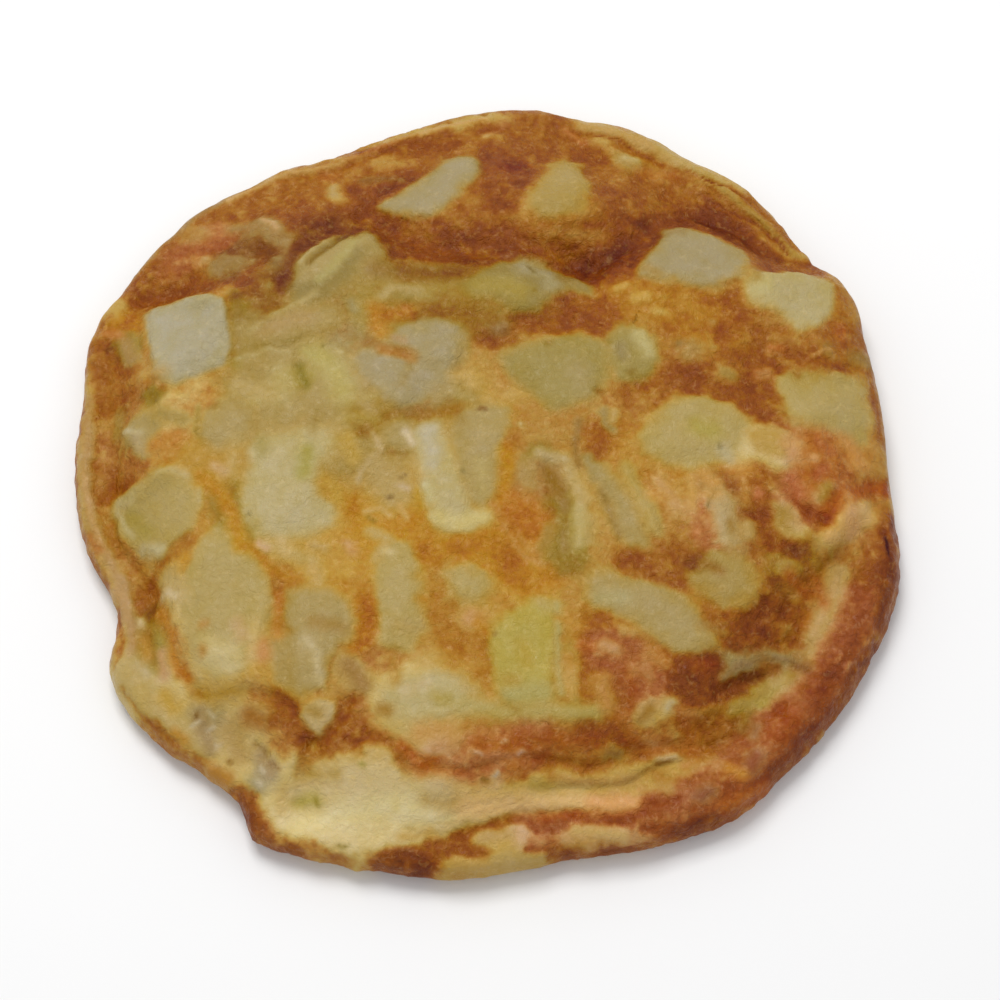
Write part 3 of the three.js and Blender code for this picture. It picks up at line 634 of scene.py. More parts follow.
# Smaller marks over all of it. An empty colour leaves the colour as it is.
DETAILS = [
    # Far left, round the white die.
    ("", 0.84, 1.8, 4, [(-78, 41), (-70, 42), (-62, 43)]),
    ("", 0.8, 2.4, 4.4, [(-64, 43), (-58, 42), (-52, 40)]),
    ("", 0.6, 2, 4, [(-51, 38), (-48, 35)]),
    ("", 0.76, 4, 4.2, [(-76, 46), (-68, 50), (-60, 51), (-50, 49)]),
    ("#c49c68", 0.34, 1.4, 2.4, [(-73, 46), (-71, 46.6)]),
    ("#c49c68", 0.44, 1.2, 2.4, [(-66, 50), (-65, 48)]),
    ("#9f8458", 0.24, 2.6, 4, [(-60, 46.5), (-56, 47)]),
    ("#bd9a6a", 0.14, 1, 2.4, [(-63, 49)]),
    ("", 0.56, 0.8, 2, [(-77, 38), (-76.4, 28), (-73.6, 18), (-70, 14.6)]),
    ("#a5854e", 0.1, 2, 3, [(-79.5, 29), (-78, 24)]),
    ("", 0.66, 1.5, 3, [(-86, 26), (-83, 21), (-79, 16)]),
    ("#c08a58", 0.3, 1.2, 2.4, [(-84, 32), (-81, 31)]),
    # Painted shadow: an olive line down the right side of the white die.
    ("#937430", 0.14, 1.2, 3, [(-55, 37), (-53.6, 31), (-53.2, 23)]),
    ("#a48c50", 0.08, 4, 4.4, [(-51, 28), (-49, 16)]),
    # Far band.
    ("", 0.66, 4.4, 4, [(-74, 49), (-68, 56), (-60, 61), (-52, 65), (-44, 69), (-36, 72)]),
    ("#b8945c", 0.3, 2.4, 3.4, [(-68, 57), (-64.6, 56.4)]),
    ("#a88c62", 0.3, 1.6, 4, [(-57, 57.6), (-50, 57), (-45, 52.6)]),
    ("#c4a078", 0.16, 0.6, 1.8, [(-50, 59.4), (-47.6, 57.4), (-46.6, 55.6)]),
    ("", 0.78, 1.2, 2.6, [(-57, 51), (-50, 50.6), (-47, 48)]),
    ("", 0.76, 1.4, 3, [(-42, 66), (-41, 58)]),
    ("#b59a66", 0.1, 1.1, 2.6, [(-35, 68), (-34.6, 65)]),
    ("", 0.4, 1.2, 2.4, [(-26, 76.6), (-24, 73)]),
    ("", 0.4, 1.2, 2.4, [(-21.6, 77), (-21.4, 72.6)]),
    ("", 0.72, 3, 3.4, [(-18, 79), (-10, 81), (-14, 76)]),
    # Painted highlight: a small paler spot in the brown band.
    ("", 0.5, 0.8, 2, [(-16, 74), (-15, 72)]),
    ("", 0.44, 0.9, 2, [(-9, 80.4), (-5, 82), (-1, 84)]),
    ("", 0.52, 2, 3.4, [(-8, 77.6), (-3, 78.6)]),
    # Dark creases of the far valley: browned, with painted shade in them.
    ("", 0.96, 1.8, 3.2, [(-29, 59), (-25.5, 64), (-22, 66.5), (-17, 69)]),
    ("#a08458", 0.42, 1, 2.6, [(-28, 69.6), (-23, 69.4), (-19, 68.6)]),
    ("", 0.9, 2.2, 4, [(-40, 51.5), (-36, 55), (-31, 57.5), (-26, 57)]),
    ("", 0.88, 1.8, 3.5, [(-22, 55.5), (-18, 53), (-15, 51)]),
    ("", 0.86, 3.6, 5, [(-19, 47), (-12, 48)]),
    ("", 0.58, 1.8, 3.2, [(-17, 54.5), (-13, 54)]),
    ("", 0.7, 2.4, 4.4, [(-3, 57), (1.6, 61), (3, 65)]),
    ("", 0.84, 2.4, 4, [(1, 72), (4, 70), (7, 68.5)]),
    ("#c8aa7c", 0.14, 0.9, 2, [(0, 81.5), (2, 83.4), (4.6, 85.6)]),
    ("", 0.72, 4, 5, [(8, 82), (14, 85), (20, 82)]),
    ("#c69468", 0.4, 0.7, 2, [(18.5, 84.5), (21, 82), (22.5, 80.5)]),
    ("", 0.76, 2.2, 3.8, [(22, 78), (26, 76)]),
    ("", 0.76, 2, 3.8, [(24, 71), (26, 68)]),
    ("#ab8d50", 0.1, 2, 3.8, [(31, 76), (34, 73)]),
    ("#bba46a", 0.02, 0.8, 2.2, [(32, 76.5), (34.5, 75.5)]),
    ("", 0.68, 5, 5, [(30, 66), (40, 67)]),
    ("", 0.5, 1.6, 3, [(39, 65.5), (42, 66)]),
    ("", 0.56, 1.2, 2.8, [(5, 64), (5.5, 61.5)]),
    ("", 0.52, 1.8, 4.4, [(8, 57), (14, 53.4), (20, 53.6), (27, 52)]),
    ("", 0.8, 1.6, 3.2, [(0, 51.5), (8, 52), (13, 49.5), (18, 48.5)]),
    ("", 0.74, 1.4, 3.2, [(-2, 48.5), (1, 48.6)]),
    ("", 0.66, 1, 3.2, [(12, 48.6), (16, 46.6)]),
    # Layered far rim: pale bands with thin dark lines between them.
    ("#a88a62", 0.24, 3, 2, [(-84, 46), (-76, 56), (-64, 66), (-50, 76), (-34, 83), (-16, 89), (2, 93)]),
    ("#c6a06c", 0.16, 0.4, 1, [(-58, 66), (-50, 70.6), (-44, 73), (-36, 74.6), (-28, 77.4), (-20, 81),
                               (-12, 84.4), (0, 87)]),
    ("", 0.72, 0.4, 1.2, [(-46, 71), (-36, 72.8), (-28, 75.4), (-20, 79.2), (-13, 82.4)]),
    ("#bd9a5c", 0.16, 1.2, 2, [(22, 85.4), (30, 83), (36, 80.4), (42, 77), (46, 74.6)]),
    ("", 0.78, 0.4, 1.1, [(24, 83.4), (31, 81.4), (36, 78.4), (41, 74.8)]),
    ("#bca062", 0.12, 1.2, 1.8, [(40, 79.4), (45, 76), (50, 72.6), (54, 69)]),
    ("#b3934f", 0.18, 0.7, 1.4, [(50, 71), (54, 68), (57.5, 65.6), (61.4, 61.6), (65, 58), (68, 54.6),
                                 (70, 51)]),
    ("", 0.92, 0.35, 1.1, [(51, 66), (54, 63.8), (58.4, 61.6), (62, 59.4), (66, 55.4), (68.6, 51.4)]),
    ("", 0.84, 0.3, 1, [(46, 73.6), (52, 70), (55.4, 69), (59, 66)]),
    ("", 0.62, 1.6, 2.5, [(60, 66), (66, 60), (71, 54)]),
    ("", 0.66, 4, 4.2, [(44, 69), (46, 64)]),
    ("", 0.52, 1.6, 3, [(44, 67), (47, 65)]),
    # Dark fold at the far right: browned, and darker still with painted shade in the fold.
    ("", 0.96, 2.8, 5, [(45, 61), (50, 61.5), (55, 58), (59, 55), (63, 50)]),
    ("", 1.04, 1.2, 3.6, [(49, 62), (51, 60)]),
    ("", 1.02, 1.2, 3.6, [(54, 57), (57, 54)]),
    ("", 1, 1.2, 3.6, [(62, 52), (64, 47)]),
    ("", 0.7, 2, 3.8, [(69, 47.6), (74, 46.6)]),
    ("", 0.44, 1.6, 3.4, [(79, 45), (82, 40), (82.6, 34)]),
    ("", 1.02, 3.4, 5.4, [(24, 44.6), (29, 46.5), (33, 51), (38, 56)]),
    ("", 1.16, 1.4, 4, [(26, 45), (30, 48)]),
    ("", 0.95, 1, 3.4, [(24, 41.6), (24.6, 43)]),
    # Mound at the far left.
    ("#947a50", 0.36, 1.6, 3.8, [(-46.4, 46), (-45, 43), (-44, 40)]),
    ("#a08a60", 0.2, 0.5, 1.8, [(-47, 47), (-44.6, 46.6)]),
    ("", 0.74, 1.4, 2.8, [(-42.8, 47), (-43.8, 42), (-45.6, 38)]),
    ("#a8925a", 0.06, 2.4, 3.4, [(-39, 42), (-35, 45), (-30, 50), (-27, 51)]),
    ("#aa9a5c", 0, 1, 3, [(-28.6, 50.6), (-33, 44), (-36, 40)]),
    ("#b3a06c", 0.04, 0.5, 1.6, [(-40.6, 44.6), (-38.6, 48), (-35.4, 51.4), (-32, 53.4)]),
    ("#84682e", 0.28, 0.4, 1.5, [(-38.6, 44.4), (-36, 47.6), (-33.4, 50.6), (-31, 52.6)]),
    ("#a99258", 0.1, 1.4, 4.4, [(-27, 43), (-24, 47)]),
    ("#a39468", 0.12, 0.5, 2.2, [(-26, 42.4), (-22, 42), (-18, 43.2)]),
    ("#ae9462", 0.14, 1.8, 4.6, [(-48, 27.6), (-43, 30), (-38.6, 31)]),
    ("#b4a06a", 0.08, 0.6, 2.6, [(-50.8, 27.6), (-46, 31.4), (-41.4, 34.6), (-37, 36.8)]),
    ("#9a8c62", 0.04, 0.8, 2.8, [(-29, 35), (-28, 32.4)]),
    # Painted shade: a soft dark line along the crease below the flat piece.
    ("#96803f", 0.16, 0.2, 2.4, [(-53, 23), (-46, 24.2), (-40, 25.2)]),
    ("#b6a570", 0.02, 0.1, 2, [(-54, 20.6), (-50, 21.4), (-46.6, 22.6), (-42.6, 22.2)]),
    ("#b09c60", 0, 2.4, 4.8, [(-44, 17), (-44, 12)]),
    ("#b09e5a", 0.02, 3, 6, [(-36, 21.6), (-32, 17), (-30, 12)]),
    ("#ae9e5a", 0.02, 1, 4.4, [(-38.6, 22.4), (-35, 20.6)]),
    ("#86762c", 0.06, 0.6, 2, [(-40.6, 19.2), (-39.6, 16.6), (-38.8, 13.8)]),
    ("#7e7236", 0.1, 0.2, 1, [(-35.4, 24), (-35, 23.6)]),
    ("#c6b480", 0, 0.3, 1.4, [(-32, 22.2), (-31.2, 22)]),
    ("#c8a458", 0.48, 2, 4.2, [(-24, 33), (-23.6, 29), (-22.4, 27.2)]),
    ("#c8a458", 0.56, 1.6, 4, [(-21, 31.4), (-17, 32.4)]),
    ("#b29c66", 0.1, 1.2, 3, [(-22.4, 36), (-19.6, 38), (-15, 37.8)]),
    ("#8f7c36", 0.1, 0.5, 1.8, [(-17.6, 36), (-16.6, 34.6)]),
    # Painted shade: the slope beyond the crest, which faces away from the light, darkened.
    ("#97783f", 0.16, 2.4, 5, [(-24, 43), (-16, 43), (-6, 42)]),
    ("", 0.54, 2.4, 3.8, [(-16, 32.4), (-8, 33)]),
    ("#b3946c", 0.14, 0.5, 2.4, [(-19.6, 25.6), (-17.4, 24.4)]),
    ("", 0.56, 1.6, 4, [(-4, 31.6), (2, 29.6)]),
    ("", 0.72, 2.4, 4.4, [(8, 29.4), (16, 30.4)]),
    ("", 0.5, 0.8, 3.4, [(-3, 29), (-2, 24)]),
    ("", 0.74, 3, 3.4, [(17, 33.6), (21, 32.6), (24, 30)]),
    ("", 0.86, 0.9, 2.4, [(24.4, 28), (25.4, 29.4)]),
    ("#a08660", 0.3, 1.6, 3, [(2, 27.4), (4, 27.6)]),
    ("", 0.66, 1.6, 3.4, [(0, 25), (6, 25.6)]),
    # Yellow pieces of the far middle.
    ("#a08a46", 0, 2.8, 4.4, [(-1, 38), (5, 38.6), (8, 36.6)]),
    ("#a2946a", 0.04, 1.6, 4.4, [(8, 44), (14, 42.6), (15, 39)]),
    ("#a08a56", 0.14, 0.8, 4, [(18, 41), (22, 39.4)]),
    ("#8c7224", 0.04, 0.7, 1.6, [(11, 37.2)]),
    ("#7e6c3c", 0.06, 0.4, 1.2, [(9.2, 44.4), (10.8, 42.6)]),
    ("", 0.42, 0.8, 2.4, [(14, 24.4)]),
    ("#a08c56", 0, 2.4, 4.6, [(20, 17), (22, 13)]),
    ("#958250", 0.04, 1.2, 2.8, [(29.6, 23), (30, 20.6)]),
    ("#b5a468", 0, 1.6, 3, [(34, 26), (35.6, 22)]),
    ("#8c7434", 0.2, 0.8, 2, [(32, 17)]),
    ("#8c7424", 0.08, 0.6, 1.8, [(27, 24.6)]),
    # Right-hand field.
    ("", 0.5, 4, 6, [(30, 38), (38, 34), (44, 33)]),
    ("#c6a25c", 0.14, 0.8, 2, [(29, 38), (31, 38.6)]),
    ("#c6a25c", 0.14, 0.9, 2, [(33, 35), (36, 35.6)]),
    ("#c4a25a", 0.16, 1, 2.4, [(38, 32), (39.6, 32)]),
    ("", 0.7, 0.5, 1.6, [(26, 38), (26.6, 33.6)]),
    ("", 0.74, 1.8, 4, [(34, 13.6), (40, 15), (46, 15)]),
    ("#90764a", 0.24, 0.9, 2.4, [(42.6, 24.4)]),
    ("#b0925c", 0.26, 2, 3.6, [(44.6, 21.6), (45.6, 23)]),
    ("#b7965a", 0.2, 0.9, 2, [(50, 23.6)]),
    ("#b7925c", 0.26, 0.8, 2, [(49.6, 29.6)]),
    ("", 0.74, 0.9, 2.8, [(55.4, 39), (53.6, 34), (52, 29), (51, 26)]),
    ("", 0.52, 1.4, 3.4, [(58, 31), (64, 30.4)]),
    ("", 0.78, 0.8, 2.8, [(60, 23), (65, 21.4), (72, 20.6), (79, 20)]),
    ("#c48c5c", 0.4, 0.9, 2, [(63, 23.8), (65, 23.8)]),
    ("", 0.6, 2.4, 4.6, [(76, 28), (79, 31)]),
    ("#c07c50", 0.44, 0.8, 2.2, [(78, 29), (79, 31)]),
    ("#a58a58", 0.34, 2, 3, [(76, 24), (84, 24)]),
    ("#c09560", 0.22, 0.3, 1.2, [(71.4, 21.8), (73.6, 23.4), (76, 24)]),
    ("", 0.78, 2.2, 4, [(48, 14), (53, 12.6), (58, 11.4), (61.6, 9), (62.4, 5)]),
    ("#a08448", 0.24, 1, 2.8, [(52, 17), (53.6, 16.6)]),
    ("#bd8e60", 0.34, 1.2, 2.6, [(59, 17.4), (62, 18)]),
    ("", 0.66, 1.2, 2.6, [(85.4, 18), (86.4, 10), (87, 4)]),
    ("", 0.52, 1.6, 3.4, [(30, 11.6), (34, 11)]),
    ("", 0.58, 0.8, 2.2, [(24.6, 12.6), (26.6, 9.6)]),
    ("#b8a870", 0, 1.8, 3.4, [(60, 38), (61.6, 39)]),
    # Left rim.
    ("", 0.62, 1.2, 2.2, [(-91, 10), (-90.6, 0), (-89.6, -8), (-87, -18), (-83, -26), (-80, -34),
                          (-79.4, -42)]),
    ("#b8986a", 0.24, 1, 2.2, [(-87.4, 16), (-87, 6), (-86, -6), (-84.4, -14), (-81, -22), (-78, -28),
                               (-76.6, -36)]),
    ("#c4a070", 0.16, 0.3, 1.4, [(-87, -2), (-85.6, -9), (-83, -17), (-79.4, -24)]),
    ("#c09060", 0.36, 1, 2.4, [(-84.8, -17), (-83, -20)]),
    ("", 0.6, 1.6, 3.2, [(-83.6, 24), (-83, 12), (-82.4, 0), (-82.6, -8)]),
    ("", 0.56, 0.8, 3.2, [(-82, -10), (-80, -16), (-77, -22), (-74.6, -28), (-73, -34)]),
    ("", 0.8, 2.2, 3.6, [(-80, -2), (-79, -5)]),
    ("", 0.66, 1.4, 3, [(-78, -3), (-73, -4.4)]),
    ("", 0.78, 1.4, 3, [(-73.4, -34), (-71.6, -29), (-69.6, -26.4)]),
    ("", 0.56, 1.6, 2.8, [(-67, -23.6), (-62.6, -21)]),
    ("#c8a050", 0.28, 1.8, 3, [(-66, -27.4), (-63.6, -25.6)]),
    ("#bca272", 0.14, 0.9, 2.4, [(-68.6, -33), (-65.4, -30)]),
    ("#a88a4c", 0.24, 1.6, 2.8, [(-79.6, 12), (-80, 6)]),
    # Painted highlight: a pale line along the raised ridge.
    ("#b8a87c", 0.02, 0.8, 2, [(-77.6, 5.8), (-74.6, 4.4)]),
    ("#ae9868", 0.06, 1.4, 2.6, [(-75.6, 3), (-73, -0.6)]),
    ("#c8a060", 0.4, 2, 3.4, [(-71, 0.6), (-66, 2)]),
    ("#a48c4c", 0.1, 1.6, 3.2, [(-70, 8), (-65, 6)]),
    ("#8e722c", 0.1, 1.1, 2.4, [(-72.8, 13.4), (-71.6, 11.6)]),
    ("#a48a44", 0.12, 0.6, 2, [(-62, 9), (-62.2, 3), (-59.4, -2)]),
    # Yellow block by the left rim: pale edges round a darker middle.
    ("#a38e48", 0.02, 2, 3.6, [(-76, -14), (-72.6, -18)]),
    ("#b8a876", 0, 0.35, 1.6, [(-79.4, -11.8), (-77.4, -15), (-75.6, -18)]),
    ("#b4a26c", 0, 1, 2.4, [(-79, -9.6), (-76, -9.8)]),
    ("#b8a878", 0, 1.2, 2.2, [(-73, -22), (-69, -23)]),
    ("#bba870", 0, 0.35, 1.4, [(-70, -6), (-67, -5.4), (-63.4, -7.6)]),
    ("#b8a46c", 0.02, 0.35, 1.6, [(-60.8, -9.6), (-60.8, -13)]),
    # Golden egg between the left-hand pieces.
    ("#b8944a", 0.2, 3.4, 4.4, [(-62, -3), (-57, -7), (-54, -4)]),
    ("#c8a87c", 0.14, 1, 2.4, [(-58, -5.4), (-56, -6.6)]),
    ("#c6a048", 0.38, 1.6, 3.2, [(-60, -8), (-56, -12), (-53.6, -17), (-51.4, -24)]),
    # Middle.
    ("#a49650", 0, 1.8, 3.2, [(-37.6, -2), (-38.6, -7)]),
    ("#b89a4e", 0.14, 1.8, 3.6, [(-29.6, 1), (-28, -3.6)]),
    ("#c0a050", 0.26, 1.8, 3.6, [(-34, -9), (-31, -12)]),
    ("#c49c44", 0.46, 1.6, 3.8, [(-28, -13.6), (-27, -18)]),
    ("", 0.42, 1, 2.4, [(-27, 2.6), (-25.4, 2)]),
    ("#bca476", 0.06, 0.6, 1.8, [(-24, 2), (-22.4, -1.6), (-26, -6.4), (-26.6, -9)]),
    ("#b39a62", 0.1, 3.8, 5.4, [(-22, -6), (-19, -12)]),
    ("", 0.4, 1.2, 2.6, [(-20.6, -1.6), (-17.6, -2)]),
    # Painted highlight: a small pale spot.
    ("#bea680", 0.02, 0.7, 2, [(-18, -9.6), (-17, -10.4)]),
    ("#6e5028", 0.1, 0.35, 1.2, [(-20.3, -12.8), (-19.7, -12.8)]),
    ("#7a5c34", 0.1, 0.1, 0.9, [(-18, -7.6), (-17.2, -7)]),
    ("#8e7434", 0.2, 0.4, 1.6, [(-24.4, -16.8), (-23.6, -17.8)]),
    ("#c6a870", 0.1, 0.4, 1.5, [(-25.4, -15.4), (-22, -15.2), (-20, -17)]),
    ("#c4a266", 0.12, 0.5, 1.5, [(-18, -14.6), (-16.6, -17.6)]),
    ("#c8b48c", 0, 0.8, 2, [(-17, 3), (-15.4, 0.6)]),
    ("#c3af6e", 0, 1.8, 3, [(-9.6, -18), (-5, -18.6), (0, -17.4)]),
    ("#b4a680", 0, 1.8, 3, [(-12, 3), (-10.6, -4)]),
    ("#bd9a40", 0.22, 0.8, 2.6, [(-14.4, -11), (-13.6, -15.6)]),
    ("", 0.46, 0.9, 3.6, [(-24, 6), (-18, 7.6), (-11, 7.6), (-6, 7.6)]),
    ("#a98e54", 0.08, 1.6, 3.4, [(-26, 11), (-24.6, 7.6)]),
    ("#b99e5e", 0.06, 1.6, 3.6, [(-46, -24), (-42, -25), (-37, -27), (-35, -31)]),
    ("#c8a684", 0.06, 0.6, 2.4, [(-48, -23.4), (-46, -24.8)]),
    ("#c49c44", 0.38, 0.7, 3.2, [(-50, -24), (-45, -29), (-41, -31)]),
    ("#b89c64", 0.12, 0.9, 2.4, [(-36.4, -23.6), (-34, -24.4)]),
    ("#c8a070", 0.2, 1, 2.4, [(-29, -23), (-27.6, -25)]),
    ("#bca268", 0.1, 1.2, 2.6, [(-24, -20.6), (-20.6, -22.4), (-22.6, -27)]),
    ("#c6b078", 0.02, 0.7, 2, [(-21, -25), (-19.6, -26)]),
    ("", 0.5, 2, 3.6, [(-13, -24), (-10, -28)]),
    ("#c49c40", 0.5, 1.4, 4.4, [(-6, -24), (1, -24.6)]),
    ("", 0.62, 2, 4.4, [(5, -27), (7, -31)]),
    ("#6e3a26", 0.3, 0.3, 1.2, [(-1.2, 8), (0.4, 7.8)]),
    ("#c4b084", 0.04, 0.5, 1.4, [(7.8, 4.4)]),
    ("#8a7a44", 0.06, 0.4, 1.2, [(-4.4, -7)]),
    # Near left.
    ("", 0.76, 0.7, 1.8, [(-78, -33), (-78, -36), (-77, -42), (-78, -47)]),
    ("#a17438", 0.06, 1.2, 2.4, [(-80.6, -42), (-80.2, -44.4)]),
    ("#b08d5b", 0.02, 1.3, 2.6, [(-77.4, -27), (-75.8, -33), (-75, -38), (-75, -44)]),
    ("", 0.7, 1.7, 3.4, [(-74, -26), (-72.6, -30), (-71, -34.6)]),
    # Painted highlight: a small pale curl on the tan spot.
    ("#c8b284", 0.02, 0.6, 1.8, [(-73.2, -36.4), (-73, -37.6)]),
    # Painted shade: an olive-brown line in the crease near the left rim.
    ("#a57c3e", 0.1, 1.1, 3.2, [(-71.8, -39), (-71.2, -45)]),
    ("", 0.6, 0.8, 2.4, [(-71, -36)]),
    ("#c69448", 0.36, 1.2, 3.2, [(-69, -36), (-66, -42), (-65, -48), (-62, -51)]),
    ("", 0.54, 0.6, 2.4, [(-65.2, -41), (-65, -43)]),
    ("", 0.54, 0.6, 2.4, [(-63.6, -49.4), (-62.4, -50.8)]),
    ("#b59c60", 0, 3.4, 4.2, [(-75, -48), (-70, -55), (-65, -59.6), (-59, -63)]),
    ("#bf9765", 0.04, 1.2, 2.8, [(-68.2, -45), (-67.4, -50)]),
    ("#b8a478", 0, 1, 2.6, [(-72.4, -47.4), (-71.4, -49)]),
    ("#ba9747", 0.02, 1.8, 3.6, [(-67, -54), (-64.6, -56.4)]),
    ("#b9a066", 0.06, 2.4, 3.8, [(-67, -29), (-64, -34)]),
    ("#cdb88c", 0, 0.7, 2.1, [(-66.6, -32.4), (-65, -34)]),
    ("#c4b078", 0, 3, 5, [(-57.6, -47), (-53, -49)]),
    ("#ba9c6a", 0.02, 1.4, 3.2, [(-52, -41), (-50.4, -44)]),
    ("#b88c4c", 0.2, 0.8, 2.8, [(-59, -41)]),
    ("#b88c4c", 0.22, 0.8, 2.8, [(-59, -46.5)]),
    ("#b18e42", 0.12, 1.7, 4, [(-60, -54), (-56, -54.6), (-51, -55)]),
    ("#a1885b", 0.02, 1.7, 3.2, [(-59.4, -58), (-58, -62), (-56.8, -65)]),
    ("#bfae88", 0, 0.35, 1.4, [(-57.6, -57.6), (-56.6, -58.6)]),
    ("#bfae88", 0, 0.35, 1.3, [(-60.6, -60.4), (-59.6, -59.6)]),
    ("#bfae88", 0, 0.3, 1.3, [(-57.4, -61.2), (-56.4, -60.8)]),
    ("#bfae88", 0, 0.35, 1.4, [(-55.4, -64.4), (-54.4, -63.8)]),
    ("#7c5c30", 0.2, 0.35, 1.2, [(-60, -58.2), (-59.9, -58.8)]),
    ("#b09256", 0.02, 2.8, 4.2, [(-52.4, -61.6), (-51, -66)]),
    ("#85602e", 0.26, 0.3, 1.3, [(-53.2, -67.8), (-52.8, -68.2)]),
    ("", 0.64, 0.3, 1.4, [(-76.4, -51), (-73.4, -56), (-70, -60)]),
    ("", 0.68, 1.2, 2.8, [(-69, -60.2), (-65, -63.4), (-62, -66.2), (-59, -68.6)]),
    ("#b8883c", 0.16, 0.8, 2.8, [(-64.6, -61.6), (-62, -63.6)]),
    ("#b5833d", 0.06, 1.7, 2.8, [(-57, -69.6), (-53.6, -71.6)]),
    ("", 0.72, 0.8, 2.2, [(-57.6, -72.2), (-54.6, -73.8), (-51.4, -74.6)]),
    ("", 1.02, 1.5, 2.8, [(-50.4, -76.6), (-49, -80), (-46.4, -83)]),
    ("", 0.86, 1.2, 2.8, [(-44, -85), (-38, -87)]),
    ("", 0.6, 0.4, 1.6, [(-41, -83), (-37, -86), (-31, -89)]),
    ("#a68d60", 0.02, 1.8, 3.4, [(-46.4, -67.4), (-44, -71)]),
    ("#8a6c3c", 0.16, 0.3, 1.9, [(-47.6, -64.8), (-46, -65.8), (-44.8, -67.4)]),
    ("#8d6c44", 0.16, 0.2, 1.4, [(-44.2, -69), (-42, -71)]),
    ("#beae86", 0, 0.4, 1.5, [(-46.4, -69.6), (-45.6, -70.6)]),
    ("#beae86", 0, 0.4, 1.5, [(-47.2, -72.6), (-46.4, -73.4)]),
    ("#b59242", 0.06, 1, 3.2, [(-41, -75), (-41, -79)]),
    # Brown folds at the near left.
    ("#a68d51", 0.06, 2.2, 3.6, [(-42, -46), (-40.4, -53)]),
    ("#a18347", 0.06, 1.5, 3.2, [(-35, -41), (-30, -42.6)]),
    ("#baa674", 0, 0.8, 2.6, [(-37, -45), (-35, -47.4), (-34.2, -51), (-34, -55.4)]),
    ("", 0.54, 0.4, 1.8, [(-31, -49), (-32.4, -54)]),
    ("#c69650", 0.4, 0.9, 3, [(-43, -35), (-43, -44)]),
    ("#bf8851", 0.08, 1.7, 3.4, [(-46.4, -46), (-46, -48.6)]),
    ("#c69a40", 0.62, 1.8, 3.8, [(-24.4, -37), (-24.4, -45), (-27, -47.4)]),
    ("", 0.44, 0.9, 2.8, [(-30, -47)]),
    ("", 0.62, 2.4, 3.8, [(-23.6, -48.6), (-18.6, -49)]),
    ("#a17e48", 0.06, 2.2, 3.8, [(-28, -51), (-25, -54.6)]),
    ("", 0.7, 0.9, 3.2, [(-48, -56.4), (-45, -57.4), (-40, -59.6)]),
    ("", 0.86, 0.7, 2.4, [(-43, -57), (-39, -60)]),
    ("#a67438", 0.14, 1.7, 3.8, [(-48.6, -59.6), (-45.6, -61)]),
    ("", 0.8, 2, 3.4, [(-42, -61), (-38.6, -65), (-35, -67)]),
    ("", 0.56, 1.4, 3.6, [(-43.6, -64), (-41, -68)]),
    ("", 0.92, 0.8, 2.8, [(-37.4, -65), (-35.8, -66)]),
    ("", 0.6, 1.8, 3.4, [(-35.6, -68.6), (-36.6, -72)]),
    ("", 0.5, 0.3, 2, [(-37.4, -71), (-38, -75)]),
    ("", 0.58, 0.8, 2.6, [(-34, -56)]),
    ("", 0.8, 1.2, 2.8, [(-33, -66.6), (-30, -63.4), (-28, -59), (-26, -57.4)]),
    ("", 0.86, 1.4, 3.2, [(-28.4, -66.4), (-25.6, -66.4)]),
    ("", 0.68, 1.8, 3.4, [(-25, -64.6), (-20, -66)]),
    ("#a17933", 0.12, 1, 3.4, [(-21, -60), (-19.4, -60.4)]),
    ("#bda878", 0, 1.2, 3.2, [(-16, -56.6), (-12, -54.6)]),
    ("#ab9756", 0.02, 1.8, 3.4, [(-9, -58), (-7, -58)]),
    ("#cf9a64", 0.6, 0.9, 3, [(-17, -67), (-12.8, -71), (-8, -73.2)]),
    ("#cf9a64", 0.78, 0.5, 2, [(-12, -71.2), (-10.4, -72)]),
    ("#cf9a64", 0.78, 0.5, 2, [(-6, -72.8), (-4, -73)]),
    ("#b38654", 0.12, 1.2, 3.2, [(-10, -69), (-6, -67.6)]),
    ("#bf9454", 0.1, 2, 4, [(-13, -65.6), (-6, -65.6)]),
    ("#ba883d", 0.12, 1.1, 3.2, [(-12, -75), (-8, -76.8)]),
    # Pale wall at the near side.
    ("#cdb47c", 0, 4.2, 6.4, [(-38, -77), (-30, -77), (-20, -77), (-8, -78)]),
    ("#dcca92", 0, 2.6, 7, [(-38, -82), (-30, -80), (-20, -79), (-12, -80)]),
    ("#b3a152", 0, 1.4, 3.6, [(-38, -77), (-35, -76.4)]),
    ("#94822e", 0, 0.4, 1.5, [(-35, -76.6), (-34.8, -77.4)]),
    ("#a3913e", 0, 0.4, 1.4, [(-25.2, -71), (-24.6, -71.4)]),
    ("#94803a", 0, 0.3, 1.2, [(-30, -86.4), (-28.6, -86.8), (-27.6, -86.2)]),
    ("#a88f52", 0.05, 0.2, 1.3, [(-16, -83.2), (-8, -81.6), (0, -78.6), (6, -77.6)]),
    ("#a88f52", 0.05, 0.2, 1.3, [(-14, -84.8), (-6, -83), (0, -80.6), (6, -79)]),
    ("#d0bc82", 0, 0.4, 1.6, [(-14, -82.4), (-6, -80.4), (2, -77.6)]),
    ("", 1, 1.6, 2.6, [(-21, -90.4), (-16, -89), (-12, -90.8)]),
    ("", 0.8, 1.5, 2.6, [(-9.6, -87), (-4, -87.6), (0, -88)]),
    ("#c2a25e", 0.08, 1, 2.4, [(-17, -85), (-11, -84)]),
    ("", 0.77, 0.6, 1.8, [(-6, -85), (-2, -83.6), (3, -81.4), (8, -80.4)]),
    # Near edge, middle.
    ("#ae9440", 0.02, 1.4, 4.2, [(8, -46), (9, -50)]),
    ("#ab9c5b", 0, 2.4, 3.6, [(6, -57), (12, -57)]),
    ("#8a6a38", 0.16, 0.25, 1.3, [(2.5, -43.4), (2.6, -43.9)]),
